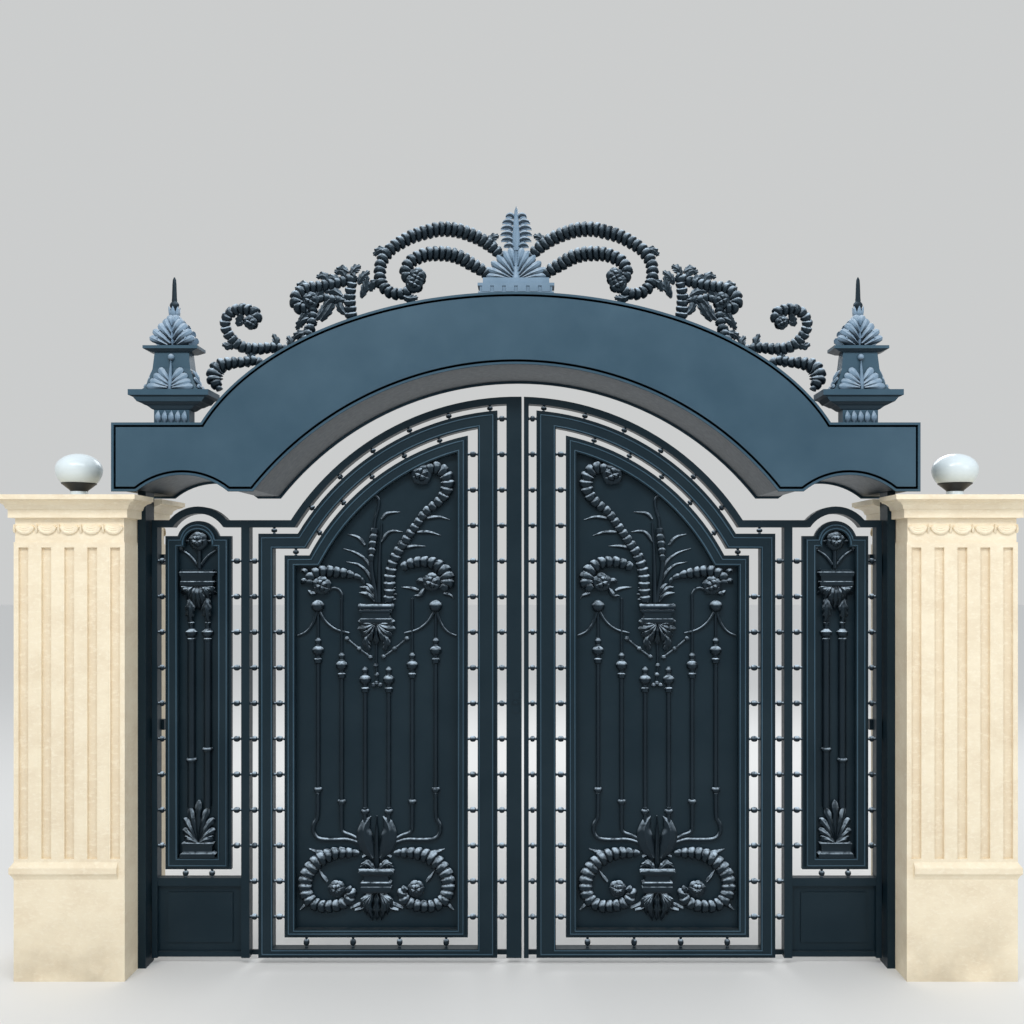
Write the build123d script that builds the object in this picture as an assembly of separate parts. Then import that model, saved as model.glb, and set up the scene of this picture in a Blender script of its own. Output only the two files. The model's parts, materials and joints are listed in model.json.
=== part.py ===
from build123d import *
import os
from math import acos, atan2, cos, degrees, pi, radians, sin, sqrt

# Wrought iron driveway gate: two swinging leaves between masonry pillars, under an arched header.
# Millimetres. X runs along the gate, Y goes through it from the street side, Z is up.
# The origin is on the ground, midway between the pillars, in the middle of their depth.
# Everything is drawn for the right-hand side and mirrored, apart from the meeting stiles and the lock.

# The opening and its pillars
opening_width = 3170
pillar_side = 450
pillar_height = 1971
plinth_height = 428
belt_height = 47
belt_proud = 14
frieze_height = 98
frieze_set_back = 4
cap_height = 91
cap_overhang = 66
flute_count = 5
flute_width = 40
flute_depth = 12
flute_margin = 19
flute_end_gap = 22
swag_count = 5
swag_half = 34
swag_drop = 30

# Lamps on the pillar caps
lamp_foot_radius = 36
lamp_foot_height = 36
lamp_cup_radius = 70
lamp_cup_height = 31
globe_radius = 95
globe_above = 68
globe_below = 86

# Steel posts and hinges
post_width = 33
post_front = -90
post_back = 4
swing_gap = 6
hinge_radius = 11
hinge_pin_radius = 6
hinge_running_gap = 0.05
hinge_seat_gap = 0.3
hinge_knuckle = 45
hinge_depth = 30
hinge_low = 275
hinge_top_drop = 189
hinge_count = 3

# Arched header box
header_bearing = 56
header_clearance = 16
header_depth = 450
header_plate = 6
header_lip = 9
header_end_height = 280
header_arch_inset = 520
header_arch_rise = 516
header_shoulder = 271
header_crown = 530
header_crown_sag = 830
scallop_half = 186
scallop_rise = 67

# Leaf frames
leaf_bottom = 25
leaf_front = -40
leaf_back = 10
leaf_drop = 92
stile_width = 24
side_panel_gap = 32
side_panel_width = 280
divider_gap = 43
divider_width = 35
arch_inset = 175
arch_rise = 523
rail_depth = 30
hump_half = 122
hump_rise = 58
bottom_bar = 20
seam_left = 20
seam_right = 30
left_stile_width = 64
right_stile_width = 20
lock_height = 1109

# Stepped frames of the arched panel
moulding_gap = 37
moulding_start = 83
moulding_side = 65
moulding_centre_side = 82
moulding_top = 64
moulding_drop = 27
moulding_arch_gap = 25
moulding_foot = 41
moulding_front = -50
moulding_step = 12
panel_gap = 45
panel_centre_gap = 43
panel_arch_gap = 23
panel_ledge_gap = 28
panel_foot_gap = 44
panel_side = 47
panel_centre_side = 44
panel_arch_side = 60
panel_ledge_side = 45
panel_foot = 37
panel_front = -46
sheet_face = -15
sheet_thickness = 5

# Side panel and kick panel beside the hinge stile
side_member = 56
side_foot = 51
side_drop = 10
side_ledge_member = 47
side_round_half = 88
side_round_rise = 64
kick_height = 338
kick_rail = 34
kick_gap = 36

# Small collars that tie the frames together
collar_side = 15
collar_depth = -27
collar_first = 196
collar_pitch = 151
collar_foot_margin = 92
collar_foot_count = 4
arch_collar_angle = 9.3
arch_collar_fit = 0.05

# Ornament
reed_radius = 8
reed_pitch = 100
vase_drop = 206
ball_radius = 28
scroll_side_count = 6
scroll_ribs = 0.2
scroll_seat = 13
pedestal_half = 163
pedestal_from_end = 231
pedestal_height = 318
pedestal_depth_share = 0.46
finial_depth_share = 0.62
crest_depth = -150
crest_ribs = 0.17
crest_drawn_half = 1370
panel_drawn_half = 343

# Places that follow from the sizes above
half_opening = opening_width / 2
pillar_half = pillar_side / 2
pillar_middle = half_opening + pillar_half
frieze_top = pillar_height - cap_height
frieze_bottom = frieze_top - frieze_height

leaf_edge = half_opening - post_width - swing_gap
stile_inner = leaf_edge - stile_width
side_x = (stile_inner - side_panel_gap - side_panel_width, stile_inner - side_panel_gap)
side_x_inner = (side_x[0] + side_member, side_x[1] - side_member)
side_middle = (side_x[0] + side_x[1]) / 2
divider_outer = side_x[0] - divider_gap
divider_inner = divider_outer - divider_width
moulding_x = (moulding_start, divider_inner - moulding_gap)
moulding_x_inner = (moulding_start + moulding_centre_side, moulding_x[1] - moulding_side)
panel_x = (moulding_x_inner[0] + panel_centre_gap, moulding_x_inner[1] - panel_gap)
panel_x_inner = (panel_x[0] + panel_centre_side, panel_x[1] - panel_side)
panel_middle = (panel_x_inner[0] + panel_x_inner[1]) / 2
panel_spread = (panel_x_inner[1] - panel_middle) / panel_drawn_half
left_stile_inner = left_stile_width - seam_left
right_stile_inner = right_stile_width + seam_right

rail_ledge = pillar_height - leaf_drop
rail_under = rail_ledge - rail_depth
arch_span = divider_inner - arch_inset
rail_radius = (arch_span ** 2 + arch_rise ** 2) / (2 * arch_rise)
arch_centre = rail_ledge + arch_rise - rail_radius
moulding_radius = rail_radius - rail_depth - moulding_arch_gap
moulding_radius_inner = moulding_radius - moulding_top
panel_radius = moulding_radius_inner - panel_arch_gap
panel_radius_inner = panel_radius - panel_arch_side
moulding_ledge = rail_under - moulding_drop
moulding_ledge_inner = moulding_ledge - moulding_top
panel_ledge = moulding_ledge_inner - panel_ledge_gap
panel_ledge_inner = panel_ledge - panel_ledge_side
moulding_bottom_inner = leaf_bottom + moulding_foot
panel_bottom = moulding_bottom_inner + panel_foot_gap
panel_bottom_inner = panel_bottom + panel_foot
kick_top = leaf_bottom + kick_height
side_bottom = kick_top + kick_gap
side_bottom_inner = side_bottom + side_foot
side_ledge = moulding_ledge - side_drop
side_top = side_ledge + side_round_rise
vase_top = panel_ledge - vase_drop

header_half = half_opening + header_bearing
header_front = -header_depth / 2
header_back = header_depth / 2
header_bottom = pillar_height + header_clearance
header_shoulder_z = header_bottom + header_end_height
header_span = half_opening - header_arch_inset
header_radius = (header_span ** 2 + header_arch_rise ** 2) / (2 * header_arch_rise)
header_arch_centre = header_bottom + header_arch_rise - header_radius
header_outer_half = header_half - header_shoulder
crown_top = header_shoulder_z + header_crown
header_outer_centre = crown_top - header_crown_sag
scallop_centre = (header_span + header_half) / 2
pedestal_middle = header_half - pedestal_from_end
pedestal_top = header_shoulder_z + pedestal_height
# Each lamp stands in the middle of the cap's top where the header leaves it free.
lamp_middle = (header_half + half_opening + pillar_side + cap_overhang) / 2
lamp_cup_low = pillar_height + lamp_foot_height
globe_low = lamp_cup_low + lamp_cup_height

hinge_x = (leaf_edge + half_opening - post_width) / 2
hinge_step = (rail_ledge - hinge_top_drop - hinge_low) / (hinge_count - 1)
hinge_heights = [hinge_low + hinge_step * index for index in range(hinge_count)]


def rise(radius, x, centre=arch_centre):
    """Height of an arch of this radius at the distance x from the middle."""
    return centre + sqrt(radius * radius - x * x)


def reach(radius, z, centre=arch_centre):
    """Distance from the middle at which an arch of this radius has the height z."""
    return sqrt(radius * radius - (z - centre) ** 2)


def ridge(x):
    """Height of the header's back at the distance x from the middle."""
    return header_outer_centre + header_crown_sag * sqrt(1 - (x / header_outer_half) ** 2)


def outline(start, *steps):
    """Closed face in the plane of the gate: a pair is a straight step, four numbers an arc step."""
    edges = []
    here = start
    for step in steps:
        if len(step) == 4:
            edges.append(ThreePointArc(here, step[:2], step[2:]))
        else:
            edges.append(Line(here, step))
        here = step[-2:]
    if abs(here[0] - start[0]) + abs(here[1] - start[1]) > 1e-6:
        edges.append(Line(here, start))
    return make_face([Plane.XZ * edge for edge in edges])


def slab(face, front, back):
    """Thicken an outline from its front to its back depth."""
    return extrude(Pos(0, back, 0) * face, amount=back - front, dir=(0, -1, 0))


def bar(x0, x1, y0, y1, z0, z1):
    """Straight block between two corners."""
    return Pos((x0 + x1) / 2, (y0 + y1) / 2, (z0 + z1) / 2) * Box(x1 - x0, y1 - y0, z1 - z0)


def flat(corners):
    """Flat face through its corners."""
    return Face(Wire.make_polygon(corners))


def skinned(rings):
    """Faceted solid through a row of matching rings of corners, with flat ends."""
    faces = [flat(rings[0]), flat(rings[-1])]
    for low, high in zip(rings, rings[1:]):
        for index, a in enumerate(low):
            after = (index + 1) % len(low)
            b, c, d = low[after], high[after], high[index]
            twist = abs((b - a).cross(d - a).dot(c - a))
            if twist < 1e-3:
                faces.append(flat([a, b, c, d]))
            else:
                faces += [flat([a, b, c]), flat([a, c, d])]
    return Solid(Shell(faces))


def turned(x, y, profile, sides, share=1):
    """Stack of frusta on an upright axis; profile lists heights and half widths, share is depth over width."""
    grow = sqrt(2) if sides == 4 else 1
    angles = [pi * (2 * side + 1) / sides for side in range(sides)]
    rings = []
    for z, half in profile:
        rings.append([Vector(x + grow * half * cos(a), y + share * grow * half * sin(a), z) for a in angles])
    return skinned(rings)


def horn(points, radii, depth, rings, squash=0.8, ribs=scroll_ribs):
    """Tapering ribbed scroll that follows a smooth curve in the plane of the gate."""
    path = Spline(*[(x, 0, z) for x, z in points])
    sections = []
    for index in range(rings + 1):
        part = index / rings
        radius = radii[0] + (radii[1] - radii[0]) * part
        if index % 2:
            radius *= 1 - ribs
        centre = path @ part
        along = path % part
        across = Vector(-along.Z, 0, along.X)
        corners = []
        for side in range(scroll_side_count):
            angle = 2 * pi * (side + 0.5) / scroll_side_count
            forward = radius * squash * cos(angle)
            corners.append(Vector(centre.X, depth + forward, centre.Z) + across * (radius * sin(angle)))
        sections.append(corners)
    return skinned(sections)


def on_sheet(solid):
    """Keep what stands in front of the panel's sheet."""
    return solid & bar(0, half_opening, -pillar_half, sheet_face, 0, crown_top)


def fused(pieces):
    """Join touching pieces into one solid."""
    whole = pieces[0]
    for piece in pieces[1:]:
        whole = whole + piece
    return whole


# Masonry pillars with a plinth, a belt moulding and a fluted shaft
def make_pillar():
    belt_top = plinth_height + belt_height
    body = turned(pillar_middle, 0, [(0, pillar_half), (frieze_bottom, pillar_half)], 4)
    flute_low = belt_top + flute_end_gap
    flute_high = frieze_bottom - flute_end_gap
    flute_tall = flute_high - flute_low
    flute_middle = (flute_low + flute_high) / 2
    pitch = (pillar_side - 2 * flute_margin - flute_width) / (flute_count - 1)
    cut = pillar_half - flute_depth / 2
    for index in range(flute_count):
        shift = (index - (flute_count - 1) / 2) * pitch
        for side in (-1, 1):
            body -= Pos(pillar_middle + shift, side * cut, flute_middle) * Box(flute_width, flute_depth, flute_tall)
        body -= Pos(pillar_middle + cut, shift, flute_middle) * Box(flute_depth, flute_width, flute_tall)
    # The belt stands proud of the three open faces and stops short of the opening.
    inner = half_opening + 2 * belt_proud
    outer = half_opening + pillar_side
    rings = []
    for level, proud in ((-0.3, 0), (0, 0.4), (0.25, 1), (0.75, 1), (1, 0.4), (1.2, 0)):
        out = belt_proud * proud
        z = plinth_height + level * belt_height
        rings.append([Vector(inner, -pillar_half - out, z), Vector(outer + out, -pillar_half - out, z),
                      Vector(outer + out, pillar_half + out, z), Vector(inner, pillar_half + out, z)])
    return body + skinned(rings)


def make_cap():
    face = pillar_half - frieze_set_back
    top = pillar_height
    profile = [(frieze_bottom, face), (frieze_top - 2, face), (frieze_top, pillar_half + 16),
               (frieze_top + 33, pillar_half + 16), (frieze_top + 36, pillar_half + 22),
               (top - 40, pillar_half + 27), (top - 30, pillar_half + 40), (top - 24, pillar_half + 58),
               (top - 20, pillar_half + 58), (top - 19.5, pillar_half + cap_overhang),
               (top, pillar_half + cap_overhang)]
    cap = turned(pillar_middle, 0, profile, 4)
    swag_z = frieze_top - 30
    for index in range(swag_count):
        x = pillar_middle + (index - (swag_count - 1) / 2) * pillar_side / swag_count
        swag = outline((x - swag_half, swag_z), (x + swag_half, swag_z),
                       (x, swag_z - swag_drop, x - swag_half, swag_z))
        cap += slab(swag, -pillar_half, -face)
        cap += slab(swag, face, pillar_half)
    # The steel post passes up through a notch in the overhang.
    return cap - bar(half_opening - cap_overhang - 10, half_opening, post_front, post_back, frieze_bottom, top + 10)


# Opal lamp globes in cone cups
def make_lamp_base():
    profile = [(pillar_height, lamp_foot_radius), (lamp_cup_low, lamp_foot_radius), (globe_low - 3, lamp_cup_radius),
               (globe_low, lamp_cup_radius)]
    return turned(lamp_middle, 0, profile, 12)


def make_lamp_globe():
    low = acos(lamp_cup_radius / globe_radius)
    middle = globe_low + globe_below * sin(low)
    steps = 4
    profile = []
    for index in range(steps):
        angle = low * (1 - index / steps)
        profile.append((middle - globe_below * sin(angle), globe_radius * cos(angle)))
    for index in range(steps + 2):
        angle = radians(82 * index / (steps + 1))
        profile.append((middle + globe_above * sin(angle), globe_radius * cos(angle)))
    return turned(lamp_middle, 0, profile, 14)


# Steel gate posts with the fixed half of each hinge
def knuckle(z0, z1, radius=hinge_radius):
    return Pos(hinge_x, hinge_depth, (z0 + z1) / 2) * Cylinder(radius, z1 - z0)


def make_post():
    pieces = [bar(half_opening - post_width, half_opening, post_front, post_back, 0, header_bottom + header_lip)]
    for z in hinge_heights:
        low = z - hinge_knuckle
        pieces.append(knuckle(low, z))
        pieces.append(bar(hinge_x + hinge_radius / 2, half_opening - 5, post_back, hinge_depth + 4, low, z))
        pieces.append(knuckle(z, z + hinge_knuckle, hinge_pin_radius))
    return fused(pieces)


def moving_hinges():
    pieces = []
    for z in hinge_heights:
        low = z + hinge_seat_gap
        high = z + hinge_knuckle
        tab = bar(stile_inner - 12, hinge_x - hinge_radius / 2, leaf_back, hinge_depth + 4, low, high)
        pieces.append(knuckle(low, high) + tab - knuckle(z, high + 5, hinge_pin_radius + hinge_running_gap))
    return pieces


# Arched header: a closed box between two face plates that stand proud as a lip
def header_face(inset):
    end = header_half - inset
    low = header_bottom + inset
    high = header_shoulder_z - inset
    inner_radius = header_radius + inset
    inner_x = reach(inner_radius, low, header_arch_centre)
    hump_radius = (scallop_half ** 2 + scallop_rise ** 2) / (2 * scallop_rise)
    hump_z = header_bottom + scallop_rise - hump_radius
    hump_x = reach(hump_radius + inset, low, hump_z)
    hump_top = hump_z + hump_radius + inset
    a = header_outer_half - inset
    b = header_crown_sag - inset
    lift = (high - header_outer_centre) / b
    start = degrees(atan2(lift, sqrt(1 - lift ** 2)))
    shoulder_x = a * cos(radians(start))
    edges = [EllipticalCenterArc((0, header_outer_centre), a, b, start_angle=start, arc_size=180 - 2 * start)]
    for side in (-1, 1):
        near = side * (scallop_centre - hump_x)
        far = side * (scallop_centre + hump_x)
        edges += [
            Line((side * inner_x, low), (near, low)),
            ThreePointArc((near, low), (side * scallop_centre, hump_top), (far, low)),
            Line((far, low), (side * end, low)),
            Line((side * end, low), (side * end, high)),
            Line((side * end, high), (side * shoulder_x, high)),
        ]
    edges.append(ThreePointArc((-inner_x, low), (0, header_arch_centre + inner_radius), (inner_x, low)))
    return make_face([Plane.XZ * edge for edge in edges])


header_front_plate = slab(header_face(0), header_front, header_front + header_plate)
header_back_plate = slab(header_face(0), header_back - header_plate, header_back)
header_body = slab(header_face(header_lip), header_front + header_plate, header_back - header_plate)
header = header_front_plate + header_body + header_back_plate


# Stepped pedestals on the header's shoulders, and their leaf finials
def make_pedestal():
    low = header_shoulder_z
    profile = [(low - header_lip, 72), (low + 57, 72), (low + 60, 80), (low + 74, 98), (low + 76, 106),
               (low + 87, 125), (low + 88, 132), (low + 106, 146), (low + 112, pedestal_half),
               (low + 135, pedestal_half), (low + 136, 118), (low + 146, 105), (low + 185, 88), (low + 226, 77),
               (low + 292, 70), (low + 294, 84), (pedestal_top - 12, 112), (pedestal_top, 112)]
    return turned(pedestal_middle, crest_depth, profile, 4, pedestal_depth_share) - header


def make_finial():
    low = pedestal_top
    profile = [(low, 56), (low + 12, 68), (low + 44, 93), (low + 60, 86), (low + 100, 48), (low + 130, 22),
               (low + 160, 16), (low + 172, 22), (low + 186, 18), (low + 200, 11), (low + 272, 8), (low + 292, 2)]
    return turned(pedestal_middle, crest_depth, profile, 8, finial_depth_share)


# Crest on the header's back: a palmette on the crown and scrolls that follow the ridge
def make_palmette():
    low = crown_top + 70
    base = bar(-155, 155, crest_depth - 40, crest_depth + 40, crown_top - 20, crown_top + 46)
    base += bar(-136, 136, crest_depth - 30, crest_depth + 30, crown_top + 46, low)
    half_fan = [(80, 0), (116, 33), (96, 63), (80, 53), (74, 99), (46, 85), (30, 133), (18, 153), (66, 203),
                (40, 213), (58, 245), (32, 253), (40, 281), (14, 279)]
    right = [(x, low + z) for x, z in half_fan]
    left = [(-x, z) for x, z in reversed(right)]
    fan = outline(right[0], *right[1:], (0, low + 305), *left)
    return (base - header) + slab(fan, crest_depth - 14, crest_depth + 14)


# Each crest curl lists points as the distance from the middle and the height above the ridge,
# then the thickness at its two ends and the number of its ribs.
crest_curls = [
    [
        ([(50, 159), (110, 214), (183, 260), (288, 296), (373, 296), (465, 278), (540, 235), (562, 176),
          (545, 106), (485, 63), (425, 74)], (25, 23), 22),
        ([(70, 64), (125, 101), (183, 140), (245, 179), (317, 199), (394, 200), (446, 173), (452, 129),
          (410, 103)], (24, 27), 15),
    ],
    [
        ([(672, -42), (684, 54), (684, 134), (668, 187)], (26, 18), 6),
        ([(656, 184), (739, 185), (810, 200), (872, 215), (907, 198), (895, 156), (858, 132)], (22, 27), 13),
        ([(838, 128), (842, 72), (872, -17)], (20, 24), 4),
    ],
    [
        ([(915, -19), (1000, 51), (1071, 96), (1128, 150), (1173, 227), (1199, 302), (1194, 336), (1156, 327),
          (1109, 285), (1071, 234), (1085, 212)], (22, 23), 19),
        ([(1020, -19), (1057, 29), (1142, 99), (1190, 141), (1232, 169), (1244, 139), (1222, 67)], (20, 24), 9),
    ],
]


def make_crest_scrolls(palmette):
    spread = header_outer_half / crest_drawn_half
    pieces = []
    for group in crest_curls:
        curls = []
        for points, radii, rings in group:
            route = [(x * spread, ridge(x * spread) + above) for x, above in points]
            curls.append(horn(route, radii, crest_depth, rings, ribs=crest_ribs))
        pieces.append(fused(curls) - header - palmette)
    return pieces


# Leaf frames: stiles, arched rail with its hump, divider and bottom bar
def arched(x_range, bottom, ledge, radius):
    inner, outer = x_range
    arch_x = reach(radius, ledge)
    middle = (inner + arch_x) / 2
    return outline((inner, bottom), (outer, bottom), (outer, ledge), (arch_x, ledge),
                   (middle, rise(radius, middle), inner, rise(radius, inner)))


def leaf_outline(inner):
    arch_x = reach(rail_radius, rail_ledge)
    middle = arch_x / 2
    return outline((inner, leaf_bottom), (leaf_edge, leaf_bottom), (leaf_edge, rail_ledge),
                   (side_middle + hump_half, rail_ledge),
                   (side_middle, rail_ledge + hump_rise, side_middle - hump_half, rail_ledge), (arch_x, rail_ledge),
                   (middle, rise(rail_radius, middle), inner, rise(rail_radius, inner)))


def make_leaf_frame(seam, stile):
    frame = slab(leaf_outline(seam), leaf_front, leaf_back)
    low = leaf_bottom + bottom_bar
    frame -= slab(arched((stile, divider_inner), low, rail_under, rail_radius - rail_depth), leaf_front, leaf_back)
    hump = hump_half - rail_depth / 2
    side_bay = outline((divider_outer, low), (stile_inner, low), (stile_inner, rail_under),
                       (side_middle + hump, rail_under),
                       (side_middle, rail_under + hump_rise, side_middle - hump, rail_under),
                       (divider_outer, rail_under))
    frame -= slab(side_bay, leaf_front, leaf_back)
    # The bottom bar lies flat behind the moulded frame and the kick panel.
    frame -= bar(stile, divider_inner, leaf_front, 0, leaf_bottom, low)
    frame -= bar(divider_outer, stile_inner, leaf_front, 0, leaf_bottom, low)
    return frame


def add_lock(frame):
    middle = (left_stile_inner - seam_left) / 2 - 8
    plate = bar(middle - 14, middle + 14, leaf_front - 3, leaf_front, lock_height - 45, lock_height + 45)
    barrel = Pos(middle, leaf_front - 3, lock_height) * Rot(90, 0, 0) * turned(0, 0, [(0, 9), (7, 9)], 10)
    return frame + plate + barrel


def stepped_frame(outer_face, hole, front, back):
    """Flat frame with a raised inner band; the outer face is drawn by how far it is set in."""
    frame = slab(outer_face(0), front + moulding_step, back)
    frame += slab(outer_face(moulding_step), front, front + moulding_step)
    return frame - slab(hole, front, back)


def set_in(x_range, amount):
    return (x_range[0] + amount, x_range[1] - amount)


def moulding_face(inset):
    return arched(set_in(moulding_x, inset), leaf_bottom + inset, moulding_ledge - inset, moulding_radius - inset)


def panel_face(inset):
    return arched(set_in(panel_x, inset), panel_bottom + inset, panel_ledge - inset, panel_radius - inset)


def side_shape(x_range, bottom, ledge, half, top):
    inner, outer = x_range
    return outline((inner, bottom), (outer, bottom), (outer, ledge), (side_middle + half, ledge),
                   (side_middle, top, side_middle - half, ledge), (inner, ledge))


def side_face(inset):
    return side_shape(set_in(side_x, inset), side_bottom + inset, side_ledge - inset,
                      side_round_half - inset, side_top - inset)


def make_sheet(face):
    return slab(face(moulding_step), sheet_face, sheet_face + sheet_thickness)


def make_kick_panel():
    low = leaf_bottom + 2
    sheet = bar(divider_outer, stile_inner, -20, 0, low, kick_top)
    rail = bar(divider_outer, stile_inner, leaf_front + 4, -20, kick_top - kick_rail, kick_top)
    foot = bar(divider_outer, stile_inner, -30, -20, low, low + 22)
    field = bar(divider_outer + 40, stile_inner - 40, -26, -20, low + 60, kick_top - kick_rail - 30)
    return fused([sheet, rail, foot, field])


# Collars between the frames: level rows, short uprights, and fans along the arches
def collar_block(x0, x1, z0, z1):
    half = collar_side / 2
    return bar(x0, x1, collar_depth - half, collar_depth + half, z0, z1)


def collar_radial(angle, radius0, radius1):
    half = collar_side / 2
    return Pos(0, 0, arch_centre) * Rot(0, angle, 0) * collar_block(-half, half, radius0, radius1 - arch_collar_fit)


def make_collars(stile):
    half = collar_side / 2
    rows = [
        (stile, moulding_x[0], leaf_bottom, rise(moulding_radius, moulding_x[0])),
        (moulding_x_inner[0], panel_x[0], panel_bottom, rise(panel_radius, panel_x[0])),
        (panel_x[1], moulding_x_inner[1], panel_bottom, panel_ledge),
        (moulding_x[1], divider_inner, leaf_bottom, moulding_ledge),
        (divider_outer, side_x[0], side_bottom, side_ledge),
        (side_x[1], stile_inner, side_bottom, side_ledge),
    ]
    pieces = []
    for x0, x1, low, high in rows:
        z = collar_first
        while z + 2 * collar_side < high:
            if z - collar_side > low:
                pieces.append(collar_block(x0, x1, z - half, z + half))
            z += collar_pitch
    foot_pitch = (panel_x[1] - panel_x[0] - 2 * collar_foot_margin) / (collar_foot_count - 1)
    uprights = [(panel_x[0] + collar_foot_margin + index * foot_pitch, moulding_bottom_inner, panel_bottom)
                for index in range(collar_foot_count)]
    uprights += [(side_middle + side * side_panel_width / 5, kick_top, side_bottom) for side in (-1, 1)]
    uprights.append((panel_x[1] - panel_side, panel_ledge, moulding_ledge_inner))
    uprights.append((moulding_x[1] - moulding_side, moulding_ledge, rail_under))
    for x, low, high in uprights:
        pieces.append(collar_block(x - half, x + half, low, high))
    for index in range(6):
        pieces.append(collar_radial(6 + index * arch_collar_angle, moulding_radius, rail_radius - rail_depth))
    for index in range(5):
        pieces.append(collar_radial(19 + index * arch_collar_angle, panel_radius, moulding_radius_inner))
    return pieces


# Reeds of the main panel with collars and knops; the outer ones carry a ball with two drooping whiskers
reed_depth = sheet_face - reed_radius + 1
reed_feet = (498, 542, 587)
reed_knops = (-328, -267, -204)
ball_z = vase_top - 9
whiskers = [(8, -14), (48, -48), (84, -136)]


def make_reeds():
    pieces = []
    r = reed_radius
    for index, (foot_up, knop_down) in enumerate(zip(reed_feet, reed_knops)):
        foot = panel_bottom_inner + foot_up
        knop = vase_top + knop_down
        profile = [(foot - 110, r - 1), (foot - 9, r), (foot - 8, 15), (foot + 7, 15), (foot + 8, r),
                   (knop - 43, r), (knop - 42, 17), (knop - 26, 17), (knop - 12, 11), (knop + 6, 24),
                   (knop + 22, 24), (knop + 40, 9)]
        outermost = index == len(reed_feet) - 1
        if outermost:
            profile += [(ball_z - 30, 8), (ball_z - 22, 18), (ball_z - 8, ball_radius),
                        (ball_z + 10, ball_radius - 2), (ball_z + 24, 16), (ball_z + 30, 8)]
        else:
            profile.append((knop + 75, 6))
        for side in (-1, 1):
            x = panel_middle + side * reed_pitch * panel_spread * (index + 0.5)
            reed = turned(x, reed_depth, profile, 6)
            if outermost:
                for droop in (-1, 1):
                    route = [(x + droop * shift * panel_spread, ball_z + z) for shift, z in whiskers]
                    reed += horn(route, (9, 4), sheet_face - 7, 4, ribs=0)
            pieces.append(on_sheet(reed))
    return pieces


# Ram's-horn scrolls and the hooked stem: distance from the panel's middle and height above the vase,
# then the thickness at the two ends, the number of ribs and how flat the scroll is.
upper_curls = [
    ([(-43, 41), (-42, 126), (-75, 221), (-147, 309), (-206, 386), (-268, 441), (-290, 495), (-280, 540),
      (-246, 560), (-203, 552)], (26, 20), 24, 0.75),
    ([(-71, 116), (-121, 148), (-206, 164), (-270, 131), (-288, 80), (-250, 76)], (22, 24), 12, 0.8),
    ([(49, 76), (64, 106), (123, 131), (199, 136), (261, 116), (279, 76), (233, 68)], (16, 24), 12, 0.8),
    ([(9, 36), (15, 176), (9, 306), (27, 401)], (20, 6), 8, 0.9),
]
volute_curl = [(78, 293), (150, 333), (235, 315), (285, 248), (285, 173), (225, 125), (160, 121), (130, 158),
               (160, 188)]


def panel_horn(points, level, radii, rings, squash, side=1):
    route = [(panel_middle + side * x * panel_spread, level + z) for x, z in points]
    return on_sheet(horn(route, radii, sheet_face - scroll_seat, rings, squash=squash))


def make_upper_scrolls():
    return [panel_horn(points, vase_top, radii, rings, squash) for points, radii, rings, squash in upper_curls]


def on_panel(x, points, level, proud, spread=1):
    """Flat piece that stands proud of the sheet, drawn from its own middle and level."""
    return slab(outline(*[(x + shift * spread, level + z) for shift, z in points]), sheet_face - proud, sheet_face)


def capital_block(x, profile, proud):
    """Square capital, half sunk behind the sheet's face and cut flat at the front."""
    block = turned(x, sheet_face, profile, 4)
    return block & bar(x - pillar_half, x + pillar_half, sheet_face - proud, sheet_face, 0, header_bottom)


def make_vase():
    x = panel_middle
    top = vase_top
    profile = [(top - 84, 48), (top - 60, 62), (top - 59, 70), (top - 26, 70), (top - 25, 78), (top, 78)]
    fan = [(-14, -324), (-34, -224), (-72, -124), (-62, -84), (62, -84), (72, -124), (34, -224), (14, -324)]
    return capital_block(x, profile, 46) + on_panel(x, fan, top, 22, panel_spread)


# Paired volutes at the foot of the panel, round a small capital
def make_volutes():
    x = panel_middle
    level = panel_bottom_inner
    pieces = [panel_horn(volute_curl, level, (23, 23), 19, 0.8, side) for side in (-1, 1)]
    profile = [(level + 153, 46), (level + 171, 70), (level + 183, 70), (level + 243, 52), (level + 260, 74),
               (level + 273, 74)]
    plume = [(36, 273), (38, 353), (22, 413), (0, 478), (-22, 413), (-38, 353), (-36, 273)]
    drop = [(-40, 153), (40, 153), (26, 83), (0, 33), (-26, 83)]
    middle = capital_block(x, profile, 34) + on_panel(x, plume, level, 18, panel_spread)
    middle += on_panel(x, drop, level, 20, panel_spread)
    return pieces + [middle]


# Ornament of the side panel: capital and drapery, two reeds, palmette on a plinth, rosette
def make_side_ornament():
    x = side_middle
    top = side_ledge - 128
    low = side_bottom_inner + 2
    drapery = [(-62, -88), (-70, -124), (-40, -184), (-30, -259), (30, -259), (40, -184), (70, -124), (62, -88)]
    capital = capital_block(x, [(top - 88, 60), (top - 80, 72), (top - 24, 66), (top - 12, 76), (top, 76)], 40)
    capital += on_panel(x, drapery, top, 26)
    palmette = [(-70, 60), (-74, 128), (-40, 188), (0, 248), (40, 188), (74, 128), (70, 60)]
    foot = on_panel(x, palmette, low, 24)
    foot += bar(x - 66, x + 66, sheet_face - 34, sheet_face, low + 18, low + 60)
    foot += bar(x - 76, x + 76, sheet_face - 24, sheet_face, low, low + 18)
    pieces = [capital, foot]
    high = top - 259
    for shift, collar_up in ((-34, 453), (34, 408)):
        z = low + collar_up
        profile = [(low + 200, 7), (z - 9, 8), (z - 8, 15), (z + 8, 15), (z + 9, 8), (high - 65, 8),
                   (high - 64, 22), (high - 41, 24), (high - 25, 10), (high, 8)]
        pieces.append(on_sheet(turned(x + shift, reed_depth, profile, 6)) - foot)
    rosette = turned(0, 0, [(0, 44), (10, 44), (20, 26)], 12)
    pieces.append(Pos(x, sheet_face, side_ledge - 22) * Rot(90, 0, 0) * rosette)
    return pieces


parts = {}


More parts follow.
